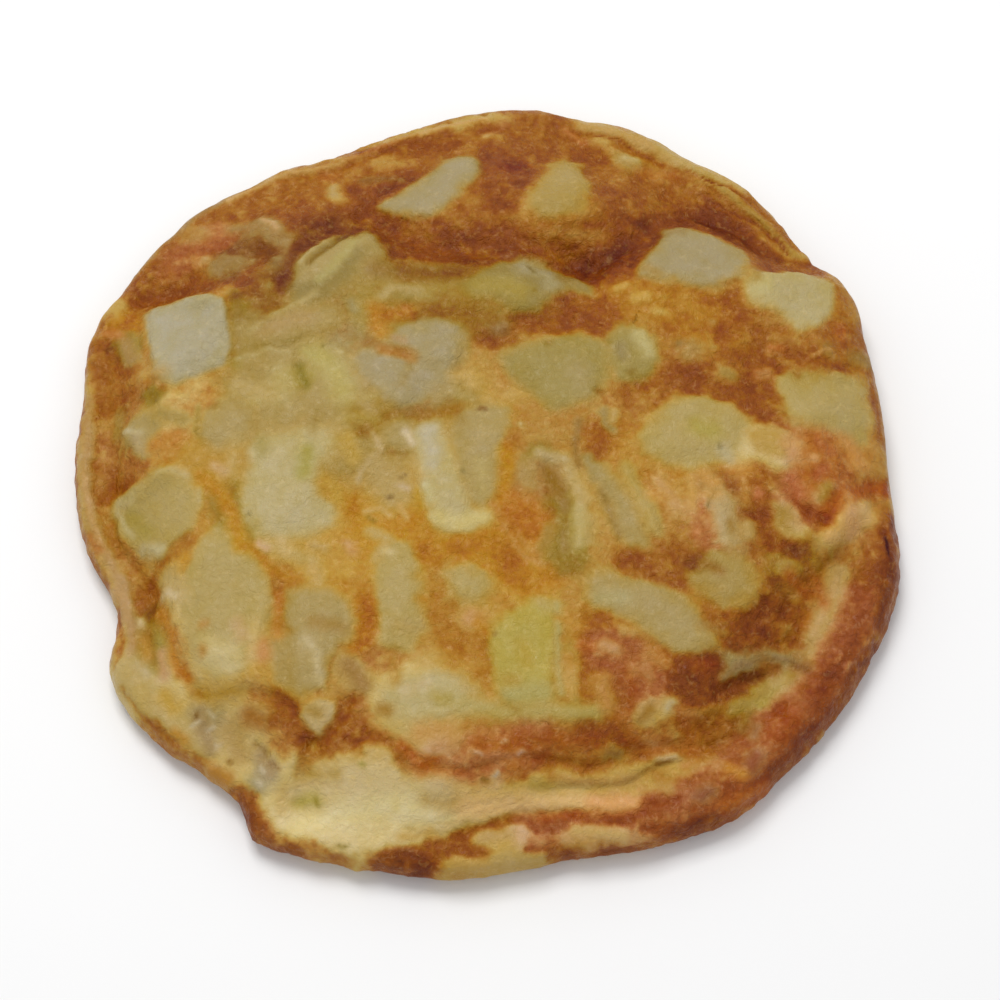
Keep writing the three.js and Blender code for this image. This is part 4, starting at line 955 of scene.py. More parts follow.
    ("#b0a165", 0, 0.8, 2.6, [(15.4, -37), (15.8, -46), (16, -57)]),
    ("#b0924c", 0.08, 1, 3.4, [(18, -46), (18.4, -58)]),
    ("#b09c5b", 0.04, 1.8, 4, [(-4, -59.4), (6, -61), (16, -61), (23, -60.6)]),
    ("", 0.56, 1.4, 3.6, [(-4.6, -45.4), (-3, -47)]),
    ("", 0.58, 0.5, 2.4, [(0.4, -44.6), (0.6, -48), (1.2, -52)]),
    ("#bf9259", 0.08, 2, 3.8, [(-3, -40), (-1, -40.4)]),
    ("", 0.42, 0.7, 2.6, [(5, -36), (6, -38.6)]),
    ("", 0.5, 1.2, 4, [(-3, -64.4), (6, -64), (17, -63.6)]),
    ("#c89a62", 0.6, 2.2, 4, [(-1, -67.6), (7, -67.4), (16, -67.2)]),
    ("#b87c58", 0.26, 0.7, 3, [(0, -70.2), (8, -69.6)]),
    ("#9a5538", 0.24, 0.7, 3.2, [(10, -66), (14, -67.2)]),
    ("#c49c84", 0.06, 0.4, 1.4, [(-2, -69.6), (-1, -70)]),
    ("#c49c84", 0.06, 0.4, 1.4, [(3.6, -67), (4.6, -66.6)]),
    ("#c49c84", 0.06, 0.35, 1.4, [(7.6, -69.4), (8.4, -69)]),
    ("", 0.66, 1.3, 2.8, [(-5, -72), (0, -72.6), (6, -72.4), (13, -70.6)]),
    ("", 0.8, 1.3, 3.6, [(20.6, -64), (25, -65), (30, -65)]),
    # Brown crease along the near edge, with painted shadow in it.
    ("", 0.74, 1.1, 2.8, [(12, -70.6), (20, -70.8), (25, -70.8), (30, -69), (36, -67.4), (43, -66)]),
    ("#9c7442", 0.1, 1, 2.6, [(26, -68.6), (28, -68.4)]),
    ("#805e24", 0.2, 0.4, 1.3, [(22, -73), (22.5, -73.3)]),
    ("#95702c", 0.3, 0.4, 1.3, [(-0.3, -74.4), (0.4, -74.6)]),
    ("#b8a488", 0.04, 0.35, 1.3, [(1.6, -73.8), (2.4, -73)]),
    ("#b09242", 0.04, 1, 2.8, [(10, -74.6), (14, -75)]),
    ("#b88e50", 0.12, 0.6, 2.4, [(14, -73.2), (20, -73), (25, -73.2)]),
    ("#d9b478", 0.06, 2, 3.6, [(-4, -78.6), (5, -78.4), (13, -78), (20, -77.6)]),
    ("#dca870", 0.12, 1.8, 3.4, [(22.6, -77.6), (31, -77.8)]),
    ("#ba9251", 0.08, 1, 2.8, [(27, -73.6), (32, -72.6)]),
    ("#ba9251", 0.08, 1.6, 3.2, [(36.6, -72.6), (39, -75.6)]),
    ("#c4b08c", 0.02, 0.6, 2.2, [(36, -68.4), (40, -67.8)]),
    ("#8a5a28", 0.3, 0.25, 1.3, [(36, -69.7), (39, -68.9)]),
    ("#cf9c68", 0.56, 0.7, 2.6, [(12, -80.8), (20, -80.6)]),
    ("", 0.8, 1.3, 3.2, [(35, -78.6), (40, -77.4)]),
    ("", 0.8, 1.7, 3, [(10.6, -82.4), (15, -81.6), (19, -80.8)]),
    ("#b08066", 0.6, 1, 2.6, [(13, -83), (15.6, -82)]),
    ("", 0.8, 0.9, 2.4, [(20, -80.8), (25, -81.2), (30.4, -81.4)]),
    ("#bc8e70", 0.62, 2.2, 3.6, [(35, -80), (39, -78.6), (43, -76)]),
    ("", 0.92, 0.7, 2.2, [(33, -83), (37.6, -83.6), (42, -82.6)]),
    ("#bd9c62", 0.06, 1.3, 2.6, [(0, -84.6), (5, -84)]),
    ("#c6a668", 0.06, 0.9, 2.2, [(19, -83.6), (24, -84), (29, -84.2)]),
    ("", 0.85, 0.5, 1.5, [(8.6, -87), (15, -88), (25, -87.4), (34, -85.8)]),
    ("#bda060", 0.06, 0.8, 1.8, [(3, -89.4), (8, -88.8), (12, -88.6)]),
    ("#bf9c56", 0.1, 0.9, 2.2, [(-6, -90.4), (0, -90)]),
    # Lower right ground.
    ("#c49c54", 0.34, 0.8, 3, [(15.6, -40), (21, -42)]),
    ("", 0.66, 0.8, 2.6, [(24.4, -40), (26, -40.4)]),
    ("#cf9c64", 0.56, 0.9, 2.8, [(20.4, -46), (23.6, -46.4)]),
    ("", 0.64, 0.8, 2.8, [(22, -53), (21.2, -57)]),
    ("#ba884c", 0.1, 1.6, 4, [(24.6, -54), (25.4, -59)]),
    ("#ba8d47", 0.1, 1.4, 3.2, [(18, -49.4), (18.4, -51)]),
    ("#bf9265", 0.08, 1.4, 3.4, [(25.4, -46.4), (27, -47)]),
    ("#ba9251", 0.1, 1.1, 3.2, [(29.6, -43), (31, -43.4)]),
    ("#b57e51", 0.16, 1.2, 3.2, [(33.4, -51.4), (34.6, -52.8)]),
    ("#c8986c", 0.6, 0.8, 3.6, [(29, -51), (31, -55), (30.6, -59), (28.4, -61.6)]),
    ("#bf8e56", 0.3, 1.8, 4.2, [(35, -48), (37, -49.6)]),
    ("#a37c3c", 0.16, 1.2, 3, [(32.2, -61.6), (34.6, -59.6)]),
    ("#c0b08c", 0, 0.8, 2.2, [(38.4, -59.4), (39.6, -58.2)]),
    ("", 0.92, 3, 4.6, [(42, -52), (45, -55), (48, -53)]),
    ("#b8845a", 0.56, 1.4, 3.6, [(45, -50.4), (47.6, -49.6)]),
    ("", 0.54, 0.4, 2.2, [(46, -35.4), (50, -38)]),
    ("", 0.8, 3, 4.6, [(54, -42), (57, -42.4), (60, -41)]),
    ("", 0.98, 1.2, 3.4, [(57, -42.4), (59, -41.6)]),
    # Painted glints: a thin paler streak over the dark brown skin.
    ("#a87c58", 0.3, 0, 2, [(57, -36.4), (59, -38.6), (61, -39)]),
    ("#ab884c", 0.3, 0.7, 2.6, [(63.6, -40.6), (64.4, -41.4)]),
    ("", 0.72, 1.6, 3.2, [(66.4, -38), (66.4, -44)]),
    ("#937650", 0.1, 0.8, 2.6, [(50, -52), (53, -49), (58, -46.8), (64, -46.2), (68, -48)]),
    ("#c0ac88", 0.02, 0.3, 1.6, [(64, -48.2), (66, -49.8)]),
    ("", 0.92, 1.1, 2.8, [(49, -55.4), (54, -52.4), (59, -50.2)]),
    ("#ab8d47", 0.06, 1.4, 3, [(52, -58), (56, -55.2), (61, -51.4), (65, -49.8)]),
    ("#bda060", 0.02, 0.6, 2.6, [(61, -51.6), (63.6, -51)]),
    ("#ba8847", 0.12, 0.8, 2.8, [(67.4, -52.6), (68.6, -53.4)]),
    ("", 0.66, 1.7, 3.8, [(41, -61.4), (48, -61), (55, -60.6)]),
    ("#b07e38", 0.16, 0.5, 2.4, [(44, -59.6), (50, -57.6)]),
    ("", 0.74, 0.5, 2.4, [(45, -66), (52, -62.8), (57, -58.6)]),
    ("#9c7433", 0.16, 0.8, 3, [(56, -58.6), (54.4, -61.6)]),
    # Rolled rim at the lower right.
    ("", 0.76, 5.6, 5.6, [(82, -36), (76, -47), (68, -57), (60, -66), (50, -75)]),
    # The rim's outer edge, where it curls under: browned, and darker with painted shade.
    ("", 1, 0.8, 2.6, [(84, -42), (80, -47.4), (72, -58), (62, -68.8), (54, -76.4), (47, -81),
                       (41, -83.4)]),
    ("", 0.88, 3.2, 4.4, [(77, -43), (74, -49), (71, -54)]),
    ("", 1.06, 1, 3.2, [(73.6, -48), (72.4, -50)]),
    ("#b88c74", 0.96, 1, 3, [(71, -53)]),
    ("#c8946c", 0.7, 2.6, 3.8, [(64, -59), (60, -63)]),
    ("#a17451", 0.14, 1.1, 3, [(57.4, -61.4), (56.6, -62.8)]),
    ("#9c6047", 0.2, 1.8, 3.6, [(56.6, -68), (55.2, -70.4)]),
    # Rosy brown skin with a painted highlight band along the roll.
    ("#cf9c6c", 0.6, 1.4, 3, [(59, -73.6), (54, -76.6), (50, -78)]),
    ("#c69248", 0.24, 1.4, 3, [(50.6, -70.6), (53.4, -72)]),
    ("#bc8847", 0.12, 1.2, 2.8, [(42, -69.6), (44, -68.8)]),
    ("", 0.68, 0.9, 2.8, [(45.4, -72.6), (47, -72.6)]),
    ("", 0.66, 1.4, 3.6, [(43, -66), (49, -66)]),
    ("#925b42", 0.18, 1.4, 3.2, [(44.8, -76.4), (47, -75.2)]),
    ("#b0926a", 0.06, 0.4, 1.8, [(71.4, -61), (70.4, -62)]),
    ("#c6a084", 0.2, 0.3, 1.4, [(75.4, -45.4), (74.6, -46.6)]),
    ("#c6a084", 0.2, 0.3, 1.3, [(77.6, -47), (77, -48)]),
    # Pale band and thin pale line along the top of the roll: pale egg with a painted highlight.
    ("#b89860", 0.14, 1.4, 3.4, [(77, -25), (73.4, -32), (69.8, -40), (67.4, -45)]),
    ("#c8a470", 0.08, 0.4, 2.4, [(75, -28.6), (72, -35), (70, -39.6)]),
    ("#ba7e38", 0.3, 0.6, 2.8, [(68.8, -36), (68, -38.6)]),
    ("", 0.8, 1.3, 2.8, [(82.6, -20), (81, -28), (79.4, -35), (76.6, -41)]),
    ("", 0.91, 1.2, 3.2, [(80.6, -37), (79, -40)]),
    # The rim's outer edge, where it curls under: browned, and darker with painted shade.
    ("", 1, 0.8, 2.4, [(87.4, -26), (86.6, -32), (84.4, -38)]),
    ("#2c160c", 0, 0.4, 1.2, [(86.2, -18), (86.6, -20), (86.5, -22)]),
    ("", 1.08, 0.8, 2.4, [(86, -17), (86.8, -23)]),
    ("", 0.95, 1, 2.6, [(89, -13), (89.6, -17)]),
    # Right of the middle.
    ("#c49c3c", 0.4, 1.6, 3.4, [(4.6, -2), (5.4, -7), (4, -13)]),
    ("#b0945c", 0.16, 1.8, 4, [(9.6, -5), (9.4, -10)]),
    ("#c6964c", 0.5, 4, 5, [(7, -15), (11, -19)]),
    ("#b39c68", 0.08, 1.2, 2.6, [(12, -2.4), (17.6, -3.6)]),
    ("#b49a5e", 0.06, 1, 3.2, [(18.4, -6), (20.4, -11), (21.4, -17), (22.6, -23)]),
    ("#98763a", 0.2, -0.2, 2.6, [(12.6, -5.2), (14, -4.2), (16, -5.6), (17.8, -10), (18.6, -14),
                                 (18, -16.6), (16.8, -16), (15.2, -12.4), (13.4, -8), (12.6, -5.2)]),
    ("#96783e", 0.1, 0.8, 2.6, [(17.4, -13.4), (17.4, -15.6)]),
    ("#a5843f", 0.14, 1.4, 3.2, [(14.2, -20), (12.6, -25)]),
    ("#9c8044", 0.12, -0.2, 2.6, [(16, -19.4), (17.8, -19), (18.4, -24.6), (17.4, -26.8), (15.6, -26),
                                  (16, -19.4)]),
    ("#b49e70", 0.04, 0.4, 1.8, [(16, -18)]),
    ("#b6a268", 0.04, 1.4, 3, [(20.6, -16), (20, -24)]),
    ("#c49a64", 0.26, 0.3, 2, [(4.6, -19), (6, -23), (9, -26), (13, -28)]),
    ("#c49a64", 0.3, 0.3, 2, [(7, -20.6), (9, -24), (12, -26)]),
    ("#98784a", 0.24, 0.6, 2.8, [(20.4, 5), (20, 0), (20.2, -5)]),
    ("", 0.66, 2.2, 3.6, [(24, 3), (25, -2)]),
    ("", 0.5, 1, 2.6, [(28, -3), (30, -7)]),
    ("#a08a58", 0.12, 0.9, 2.2, [(26, 8), (26.4, 4.6), (28, 3)]),
    # Painted highlight: a cream spot at the edge of the olive pore.
    ("#bca06a", 0.1, 0.5, 1.6, [(28.4, 8), (28, 5.6)]),
    ("#a4905e", 0.08, 1.2, 2.8, [(22.6, -3.4), (24, -7)]),
    ("#967c48", 0.18, 0.4, 3, [(25, -11), (26.4, -16), (28.6, -21)]),
    ("#b49c5a", 0.08, 1.4, 3.6, [(30.6, -6), (33, -12), (36, -19)]),
    ("#b49c60", 0.08, 0.6, 2.6, [(33, -12), (35.4, -16), (37.4, -20.6)]),
    ("#c49c68", 0.16, 1.6, 3.6, [(37, -9), (40, -12), (40.6, -15)]),
    ("", 0.74, 2, 4.4, [(30, -27.6), (34, -27.6), (40, -30)]),
    ("", 0.76, 2.8, 4, [(40, -25), (44, -27)]),
    # Right-hand side.
    ("#b4a478", 0.04, 1.2, 2.8, [(51, -1), (53, -4)]),
    ("#6e6034", 0.1, 0.25, 1, [(50.4, 0.4), (50.6, -0.6)]),
    ("#b6954f", 0.06, 0.4, 2.8, [(56.6, 3), (62, 4), (65.4, 2.6), (66.6, -0.4), (64.8, -3), (61.6, -3.4),
                                 (58.8, -2), (56.6, 3)]),
    ("#c89860", 0.52, 4.2, 6, [(71, 0), (74, -4), (70, -8)]),
    ("#cc9878", 0.5, 1.2, 3, [(72, 1), (74.6, -1)]),
    ("#cc9878", 0.6, 1.2, 3, [(73, -5), (71.6, -7)]),
    ("#c89a70", 0.2, 1.6, 3.2, [(66.4, 0.4), (66.4, -2)]),
    ("#c89458", 0.2, 2, 3.8, [(78, 2), (81, -2)]),
    ("#cc9878", 0.44, 1.3, 3, [(66.4, -7.6), (67.4, -10)]),
    ("#d0a278", 0.24, 1, 2.4, [(71, -3)]),
    ("#b09050", 0.22, 1.6, 2.6, [(73, -9.6), (72.6, -12.4)]),
    ("", 0.6, 0.6, 3, [(78, -1), (76.4, -8), (73, -14), (70.4, -16.6)]),
    ("", 0.8, 0.9, 2.4, [(69, -15.4), (72.6, -17)]),
    ("", 0.76, 2.2, 3.6, [(60, -13), (58, -18)]),
    ("#d49c84", 0.42, 1.2, 2.6, [(58.4, -11.6)]),
    ("", 0.66, 1.8, 3.4, [(58, -6), (64, -8.6)]),
    ("#c49c60", 0.36, 0.9, 2.4, [(55.4, -8), (55.6, -13)]),
    ("", 0.56, 0.6, 2.6, [(53, -9.6), (53, -12)]),
    ("#c49858", 0.2, 1.5, 2.8, [(47, -7.6), (49.6, -9.4)]),
    ("#c8a060", 0.18, 1, 2.4, [(44.6, -8), (44, -15)]),
    ("#cc9670", 0.36, 1, 2.4, [(44.8, -21)]),
    ("#ae8e4c", 0.16, 0.2, 3.4, [(61.6, -13.6), (65.6, -14.4), (66.6, -17), (64.6, -20), (62.4, -18.6),
                                 (61.6, -13.6)]),
    ("", 0.78, 1.2, 2.8, [(64.6, -22.6), (67.4, -23.6)]),
    ("", 0.76, 1.8, 3.2, [(70, -16), (72.6, -18.6)]),
    ("", 0.66, 1, 3, [(82, -18.6), (79, -20.6), (74, -24.6), (70, -28)]),
    ("#ac8e50", 0.24, 0.8, 3, [(61.6, -26.6), (64.6, -27)]),
    ("#bc9450", 0.22, 1, 2.4, [(67.4, -31), (66.4, -33)]),
    ("", 0.62, 1.2, 3.4, [(59, -23), (60, -28)]),
    # Fan of pale streaks behind the rolled rim.
    ("#d0a868", 0.1, 2.4, 3.6, [(73.6, -20), (77.6, -16.8), (82, -13)]),
    ("#cf9a64", 0.76, 1.5, 2.8, [(87, -6.4), (83, -7), (79, -9.4), (76, -12.4), (73, -15.6)]),
    ("#d8b470", 0.04, 0.4, 2.2, [(75.6, -16.6), (79, -14), (82, -12.4)]),
    # Greyish pieces near the right.
    ("#b49c6c", 0.08, 2.2, 3, [(50, -13), (50.6, -17), (51.6, -22)]),
    ("#86703a", 0.12, 0.3, 1.4, [(49.6, -11), (47.8, -12.8), (47.4, -15)]),
    ("#a08048", 0.22, 0.6, 2.4, [(52, -18.6), (52.6, -20.6)]),
    ("#bca678", 0.06, 0.2, 2.4, [(51, -22.4), (48.4, -23)]),
    ("#b89a60", 0.08, 1.3, 2.6, [(56, -19), (56.4, -21.4)]),
    ("#9c7840", 0.3, 1, 2.8, [(46.4, -28.6), (49.6, -30)]),
    ("", 0.56, 1.4, 3, [(42, -20), (44, -24)]),
    # Darker places here and there in the far crust.
    ("", 1.08, 1.2, 6, [(-31, 67), (-22, 65)]),
    ("", 0.8, 1, 6, [(-31, 78), (-22, 78.6)]),
    ("", 0.82, 1, 6, [(-19, 77), (-9, 78)]),
    ("", 0.74, 0.5, 6, [(-2, 84), (5, 84)]),
    ("", 0.8, 0.5, 6, [(-24, 71.6), (-12, 71.6)]),
    ("", 1.05, 1.2, 6, [(5, 73), (8, 72)]),
    ("", 0.9, 1.4, 7, [(0, 66), (5, 65), (3, 59)]),
    ("", 0.96, 1, 7, [(0, 54), (7, 54)]),
    ("", 0.84, 0.6, 6, [(18, 78), (22, 77)]),
    ("", 0.82, 1, 6, [(29, 66), (34, 64)]),
    ("", 0.88, 1, 7, [(40, 66), (45, 65)]),
    ("", 0.9, 1.2, 6, [(23, 54), (27, 55)]),
    ("", 1.18, 0.6, 5, [(46, 60), (52, 59), (60, 54.4)]),
    ("", 0.8, 1, 6, [(-61, 54), (-55, 55)]),
    ("", 1.02, 1, 6, [(-37, 54), (-29, 53.6)]),
    ("", 0.9, 0.4, 5, [(-14, 54), (-10, 54)]),
    ("", 0.92, 0.8, 5, [(-62, 42), (-57, 43)]),
    ("", 0.72, 0.8, 5, [(-49, 42), (-46, 41)]),
    # More painted shade on the slope beyond the crest.
    ("", 0.72, 1, 6, [(-18, 42.6), (-12, 42), (-5, 42)]),
    ("", 0.84, 0.6, 6, [(16, 48), (21, 48)]),
    ("", 0.86, 1, 5, [(29, 42), (31, 41)]),
    ("#a88c52", 0.2, 0.8, 3.4, [(34.6, 43), (38, 41.6)]),
    ("", 0.9, 1.2, 6, [(18, 36), (18, 29)]),
    ("", 0.86, 0.6, 6, [(54, 36), (60, 24)]),
    ("#9a8750", 0.06, 0.8, 3.6, [(10, 36), (14, 35.4)]),
    ("#a8945c", 0.2, 0.4, 6, [(-18, 36), (-12, 36)]),
    ("#a89254", 0.2, 0.2, 5, [(-29, 37), (-25, 37)]),
    ("#9a8248", 0.34, 0.4, 5, [(-55, 31), (-48, 30)]),
    ("", 0.8, 0.6, 5, [(-55, 36), (-53, 37)]),
    ("", 0.24, 1, 5, [(-79, 30), (-77, 29)]),
    ("", 0.56, 0.8, 6, [(78, 31), (78, 25)]),
    ("#a88850", 0.36, 0.7, 3, [(-25.6, 25), (-21, 23), (-16.6, 22)]),
    ("#a08a54", 0.2, 0.2, 4, [(-16, 18), (-18, 13)]),
    ("", 0.8, 0.6, 5, [(-1, 25), (2, 24)]),
    ("#c2a066", 0.14, 0.8, 5, [(-75, 18.6), (-70, 17.6)]),
    ("", 0.78, 0.8, 5, [(-79, 13), (-77, 10)]),
    ("", 0.14, 0.6, 6, [(-68, 12), (-65, 12)]),
    ("", 0.48, 1, 5, [(-60, 13), (-59, 10)]),
    ("#ae9a60", 0.14, 0.4, 6, [(-54, 12), (-47, 11)]),
    ("", 0.3, 0, 5, [(-6, 18), (-4, 19)]),
    ("", 0.64, 0.8, 5, [(66, 19), (68, 17)]),
    ("#b29e64", 0.16, 0.4, 5, [(-6, 12), (-4, 11)]),
    ("", 0.12, 0.8, 5, [(6, 12), (8, 12)]),
    ("", 0.76, 0.8, 5, [(30, 13), (32, 11)]),
    ("#9a8448", 0.2, 0.2, 5, [(-36, 6), (-37, 3)]),
    ("", 0.3, 0.4, 5, [(-24, 6), (-23, 4)]),
    ("", 0.46, 0.4, 5, [(-6, 7), (-5, 5)]),
    ("", 0.12, 0.8, 4.4, [(35, 6), (37, 7)]),
    ("", 0.74, 0.8, 5, [(-78, 1), (-77, -2)]),
    ("", 0.34, 0.2, 5, [(-72, -6), (-70, -5)]),
    ("", 0.6, 0.8, 5, [(5, 0), (7, 0)]),
    ("#d0a878", 0.2, 0.8, 5, [(65, 0), (68, 0)]),
    ("", 0.16, 0.6, 5, [(-54, -6), (-53, -8)]),
    ("", 0.16, 0.6, 6, [(-31, -6), (-28, -5)]),
    ("#b4a066", 0.04, 0.6, 5, [(-1, -5), (0, -12)]),
    ("#d0a468", 0.28, 0.8, 5, [(53, -6), (56, -6)]),
    ("#b8aa78", 0.04, 0.6, 4, [(-12.6, -10), (-12, -14)]),
    ("", 0.3, 0.8, 6, [(12, -12), (12, -18)]),
    ("#cca264", 0.3, 0.8, 4.4, [(47, -12), (50, -12)]),
    ("#cc9c64", 0.2, 1.2, 5, [(78, -11), (79, -17)]),
    ("", 0.66, 1, 4.4, [(77, -23), (79.6, -25)]),
    ("", 0.26, 1, 5, [(-73, -23), (-71, -26)]),
    ("#c4a070", 0.14, 0.6, 5, [(-79, -30), (-77, -31)]),
    ("", 0.34, 0.6, 5, [(-43, -29), (-41, -32)]),
    ("", 0.2, 0.4, 6, [(-36, -30), (-30, -30)]),
    ("", 0.76, 0.6, 5, [(36, -29), (37, -31)]),
    ("#a8965e", 0.06, 0.8, 4, [(24, -36), (30, -35.4)]),
    ("", 0.96, 0.8, 4.4, [(60, -35.4), (62, -37)]),
    ("", 0.36, 0.6, 5, [(-73, -42), (-71, -41)]),
    ("", 0.16, 0.6, 5, [(-48, -42), (-48, -48)]),
    ("#b4904c", 0.4, 0.6, 4.4, [(-42.6, -41), (-41, -43)]),
    ("#b49a60", 0.1, 0.6, 5, [(-18, -42), (-13, -42)]),
    ("#b4a050", 0.06, 1.2, 5, [(6, -41), (11, -41)]),
    ("", 0.28, 1, 5, [(18, -42), (18, -54)]),
    ("", 0.58, 0.8, 5, [(30, -48), (30, -54)]),
    ("#a88c54", 0.46, 0.6, 4.4, [(46, -41), (50, -42)]),
    ("#a8864e", 0.5, 0.8, 5, [(59, -48), (61, -49)]),
    ("", 0.62, 0.8, 5, [(65, -48), (68, -47)]),
    ("", 0.44, 0.8, 4.4, [(-61, -54), (-59, -54)]),
    ("#b8944e", 0.38, 0.8, 4.4, [(-19, -49), (-18, -54)]),
    ("#a88a48", 0.36, 0.4, 5, [(-36, -60), (-34, -61)]),
    ("", 0.36, 0.8, 5, [(5, -59), (7, -61)]),
    ("#c69668", 0.62, 1, 5, [(19, -66), (24, -67)]),
    ("#c69668", 0.6, 1, 5, [(30, -66), (36, -66)]),
    ("#c09058", 0.64, 0.6, 5, [(42, -60), (43, -66)]),
    ("#b49854", 0.24, 0.4, 5, [(-36, -72), (-30, -73)]),
    ("#b89a5c", 0.2, 0.6, 5, [(-12, -78), (-6, -78)]),
    ("", 0.62, 0.8, 4.4, [(-12, -72.4), (-10, -72)]),
    ("#c08c44", 0.52, 0.8, 4.4, [(5, -72), (8, -72)]),
    ("", 0.46, 0.6, 4.4, [(12, -72), (14, -72.6)]),
    ("", 0.44, 0.6, 5, [(36, -72), (38, -72)]),
    # The last of the uneven places.
    ("", 0.9, 0.6, 6, [(-1, 84), (4, 84)]),
    ("#cfa874", 0.56, 0.8, 5, [(-37, 72), (-35, 72)]),
    ("#cfa874", 0.56, 0.8, 5, [(35, 72.4), (43, 71.6)]),
    ("", 0.94, 0.6, 5, [(-20, 71.4), (-16, 71.6)]),
    ("#c29238", 1.02, 1.2, 5, [(5, 72), (8, 72)]),
    ("", 1, 0.8, 4.4, [(-28.6, 66), (-24, 65)]),
    ("", 0.96, 1, 5, [(42, 66), (44, 65)]),
    ("", 0.9, 0.8, 5, [(5, 60), (7, 59)]),
    ("#a08a5c", 0.16, 1, 3.4, [(40.6, 54), (44, 54)]),
    ("#b09258", 0.56, 0.6, 5, [(0, 48), (12, 48.6)]),
    ("", 0.68, 0.6, 5, [(17, 48), (19, 48)]),
    ("#a08a5c", 0.26, 0.6, 4.4, [(17, 42), (20, 41.4)]),
    ("#a88e58", 0.14, 0.6, 3.4, [(35.4, 42.6), (38, 41.4)]),
    ("#a88c4c", 0.4, 0.6, 3.4, [(60.4, 43), (60, 40.6)]),
    ("", 0.46, 0.6, 5, [(59, 30), (62, 30)]),
    ("#c89c5c", 0.52, 1, 5, [(78, 31), (78, 23)]),
    ("", 0.44, 0.2, 5, [(-6, 18), (-5, 19)]),
    ("", 0.52, 0.8, 4.4, [(-60, 12.6), (-59.6, 10)]),
    ("#a09052", 0.1, 0.8, 4.4, [(-48, 1), (-47.4, -2)]),
    ("#b6a06c", 0.04, 0.8, 3.8, [(-66, -5.6), (-64, -7)]),
    ("#bcb080", 0.02, 0.6, 3.4, [(-12.8, -10), (-12, -14)]),
    ("#d0a468", 0.16, 0.8, 4.4, [(35, -11.6), (37, -13)]),
    ("#d0a470", 0.1, 1.2, 4.4, [(77.6, -15), (79, -19)]),
    ("#c49a5c", 0.42, 0.8, 4, [(72, -23.6), (73, -25.4)]),
    ("", 0.72, 0.8, 3.8, [(78.6, -23.6), (79.6, -25)]),
    ("#c4a468", 0.16, 0.6, 4.4, [(-36.6, -29), (-35.6, -31)]),
    ("#c2984c", 0.32, 0.6, 4.4, [(-12.6, -36), (-11, -36.6)]),
    ("#b49e60", 0.1, 0.8, 4, [(12, -36), (13, -37.6)]),
    ("#ac9c68", 0.02, 1, 4, [(23.6, -36), (30, -35.4)]),
    ("", 1.06, 0.8, 4, [(60, -36), (61.6, -37)]),
    ("#c8a058", 0.3, 0.8, 5, [(-72.6, -41), (-71.6, -44)]),
    ("#c8ae74", 0.06, 0.8, 4.4, [(-48, -41), (-48, -49)]),
    ("#c29038", 0.34, 0.8, 4, [(-0.6, -41), (0.6, -43)]),
    ("#ae905c", 0.36, 0.8, 4, [(47, -41.4), (49, -42)]),
    ("#b09060", 0.46, 0.8, 4.4, [(59, -48), (61, -49)]),
    ("", 0.9, 0.8, 4, [(47.6, -48), (49, -48.6)]),
    ("", 0.86, 0.8, 4, [(53.6, -54), (55, -54)]),
    ("#c8a464", 0.16, 1, 5, [(18, -52), (18, -56)]),
    ("#b09040", 0.16, 0.6, 4.4, [(5, -54), (7, -54)]),
    ("#c8a070", 0.54, 1, 4.4, [(41, -59.6), (43, -61)]),
    ("#d0a478", 0.46, 1.2, 4.4, [(35, -66), (38, -66)]),
    ("#cc9c64", 0.52, 1, 4.4, [(42, -66), (44, -65.6)]),
    ("#c08a44", 0.7, 0.8, 4, [(-13, -72), (-10.6, -72)]),
    ("#b4a05e", 0.1, 0.6, 6, [(-48, 12), (-50, 10)]),
    ("#b4a060", 0.06, 0.4, 6, [(-29, 11), (-24, 11)]),
    ("#b49e58", 0.1, 0.4, 6, [(-30, 5.6), (-24, 6)]),
    ("", 0.76, 1.6, 5, [(-6, 59), (-4, 57)]),
    ("", 0.52, 0.8, 4.4, [(18, 78), (19, 77)]),
    ("#bca468", 0.1, 0.4, 6, [(-54, 1), (-54, -7)]),
    ("#ccb078", 0.08, 0.4, 5, [(-42.6, -23), (-41.6, -25)]),
    ("#a89648", 0, 1.6, 5, [(46, 4), (49, 3)]),
    ("", 0.84, 1, 4, [(56, -16), (60, -16.4)]),
    ("", 0.84, 0.8, 4, [(64, -22.6), (67, -23.4)]),
    ("", 0.98, 1.4, 3, [(69.6, -15.4), (72.6, -17)]),
    ("", 0.98, 1.2, 5, [(80, -37), (77, -44)]),
    ("", 0.96, 1, 5, [(56, -39.6), (63, -36)]),
    ("#c88e5c", 0.5, 1, 5, [(72, -33), (70, -28)]),
    ("#cc947c", 0.52, 1.2, 3.6, [(65.6, -7.6), (67.6, -11.4)]),
    ("#c4885c", 0.66, 1, 4.6, [(64.6, -29.6), (68, -31.6)]),
    ("#b8965c", 0.3, 0.6, 3, [(70, -22), (71.6, -23.6)]),
    ("", 0.9, 0.8, 5, [(-21, 79), (-6, 80)]),
    ("", 0.88, 0.8, 4.6, [(17, 78.6), (20, 77)]),
    ("", 1, 0.6, 5, [(3, 49), (13, 48)]),
    ("", 0.84, 0.8, 4.6, [(64, -42), (67, -43)]),
    ("", 0.84, 0.6, 4.6, [(46, -67), (49.6, -65)]),
    ("#b48c54", 0.34, 1.2, 2.6, [(-22, 22.8), (-18, 21.4), (-16, 20.4)]),
    ("#b8a068", 0.04, 1.4, 6, [(-54, 14), (-46, 12)]),
    ("#a89458", 0.12, 0.6, 5, [(-27.4, 34), (-26.6, 28)]),
]

# What browning makes of pale egg.
EGG_BROWNING = [
    (0.00, "#c3a667"),
    (0.25, "#b9964e"),
    (0.45, "#ae7e38"),
    (0.62, "#a0672b"),
    (0.80, "#8f5121"),
    (1.00, "#7a411c"),
    (1.20, "#623216"),
]
BROWNEST = 1.25         # end of that scale

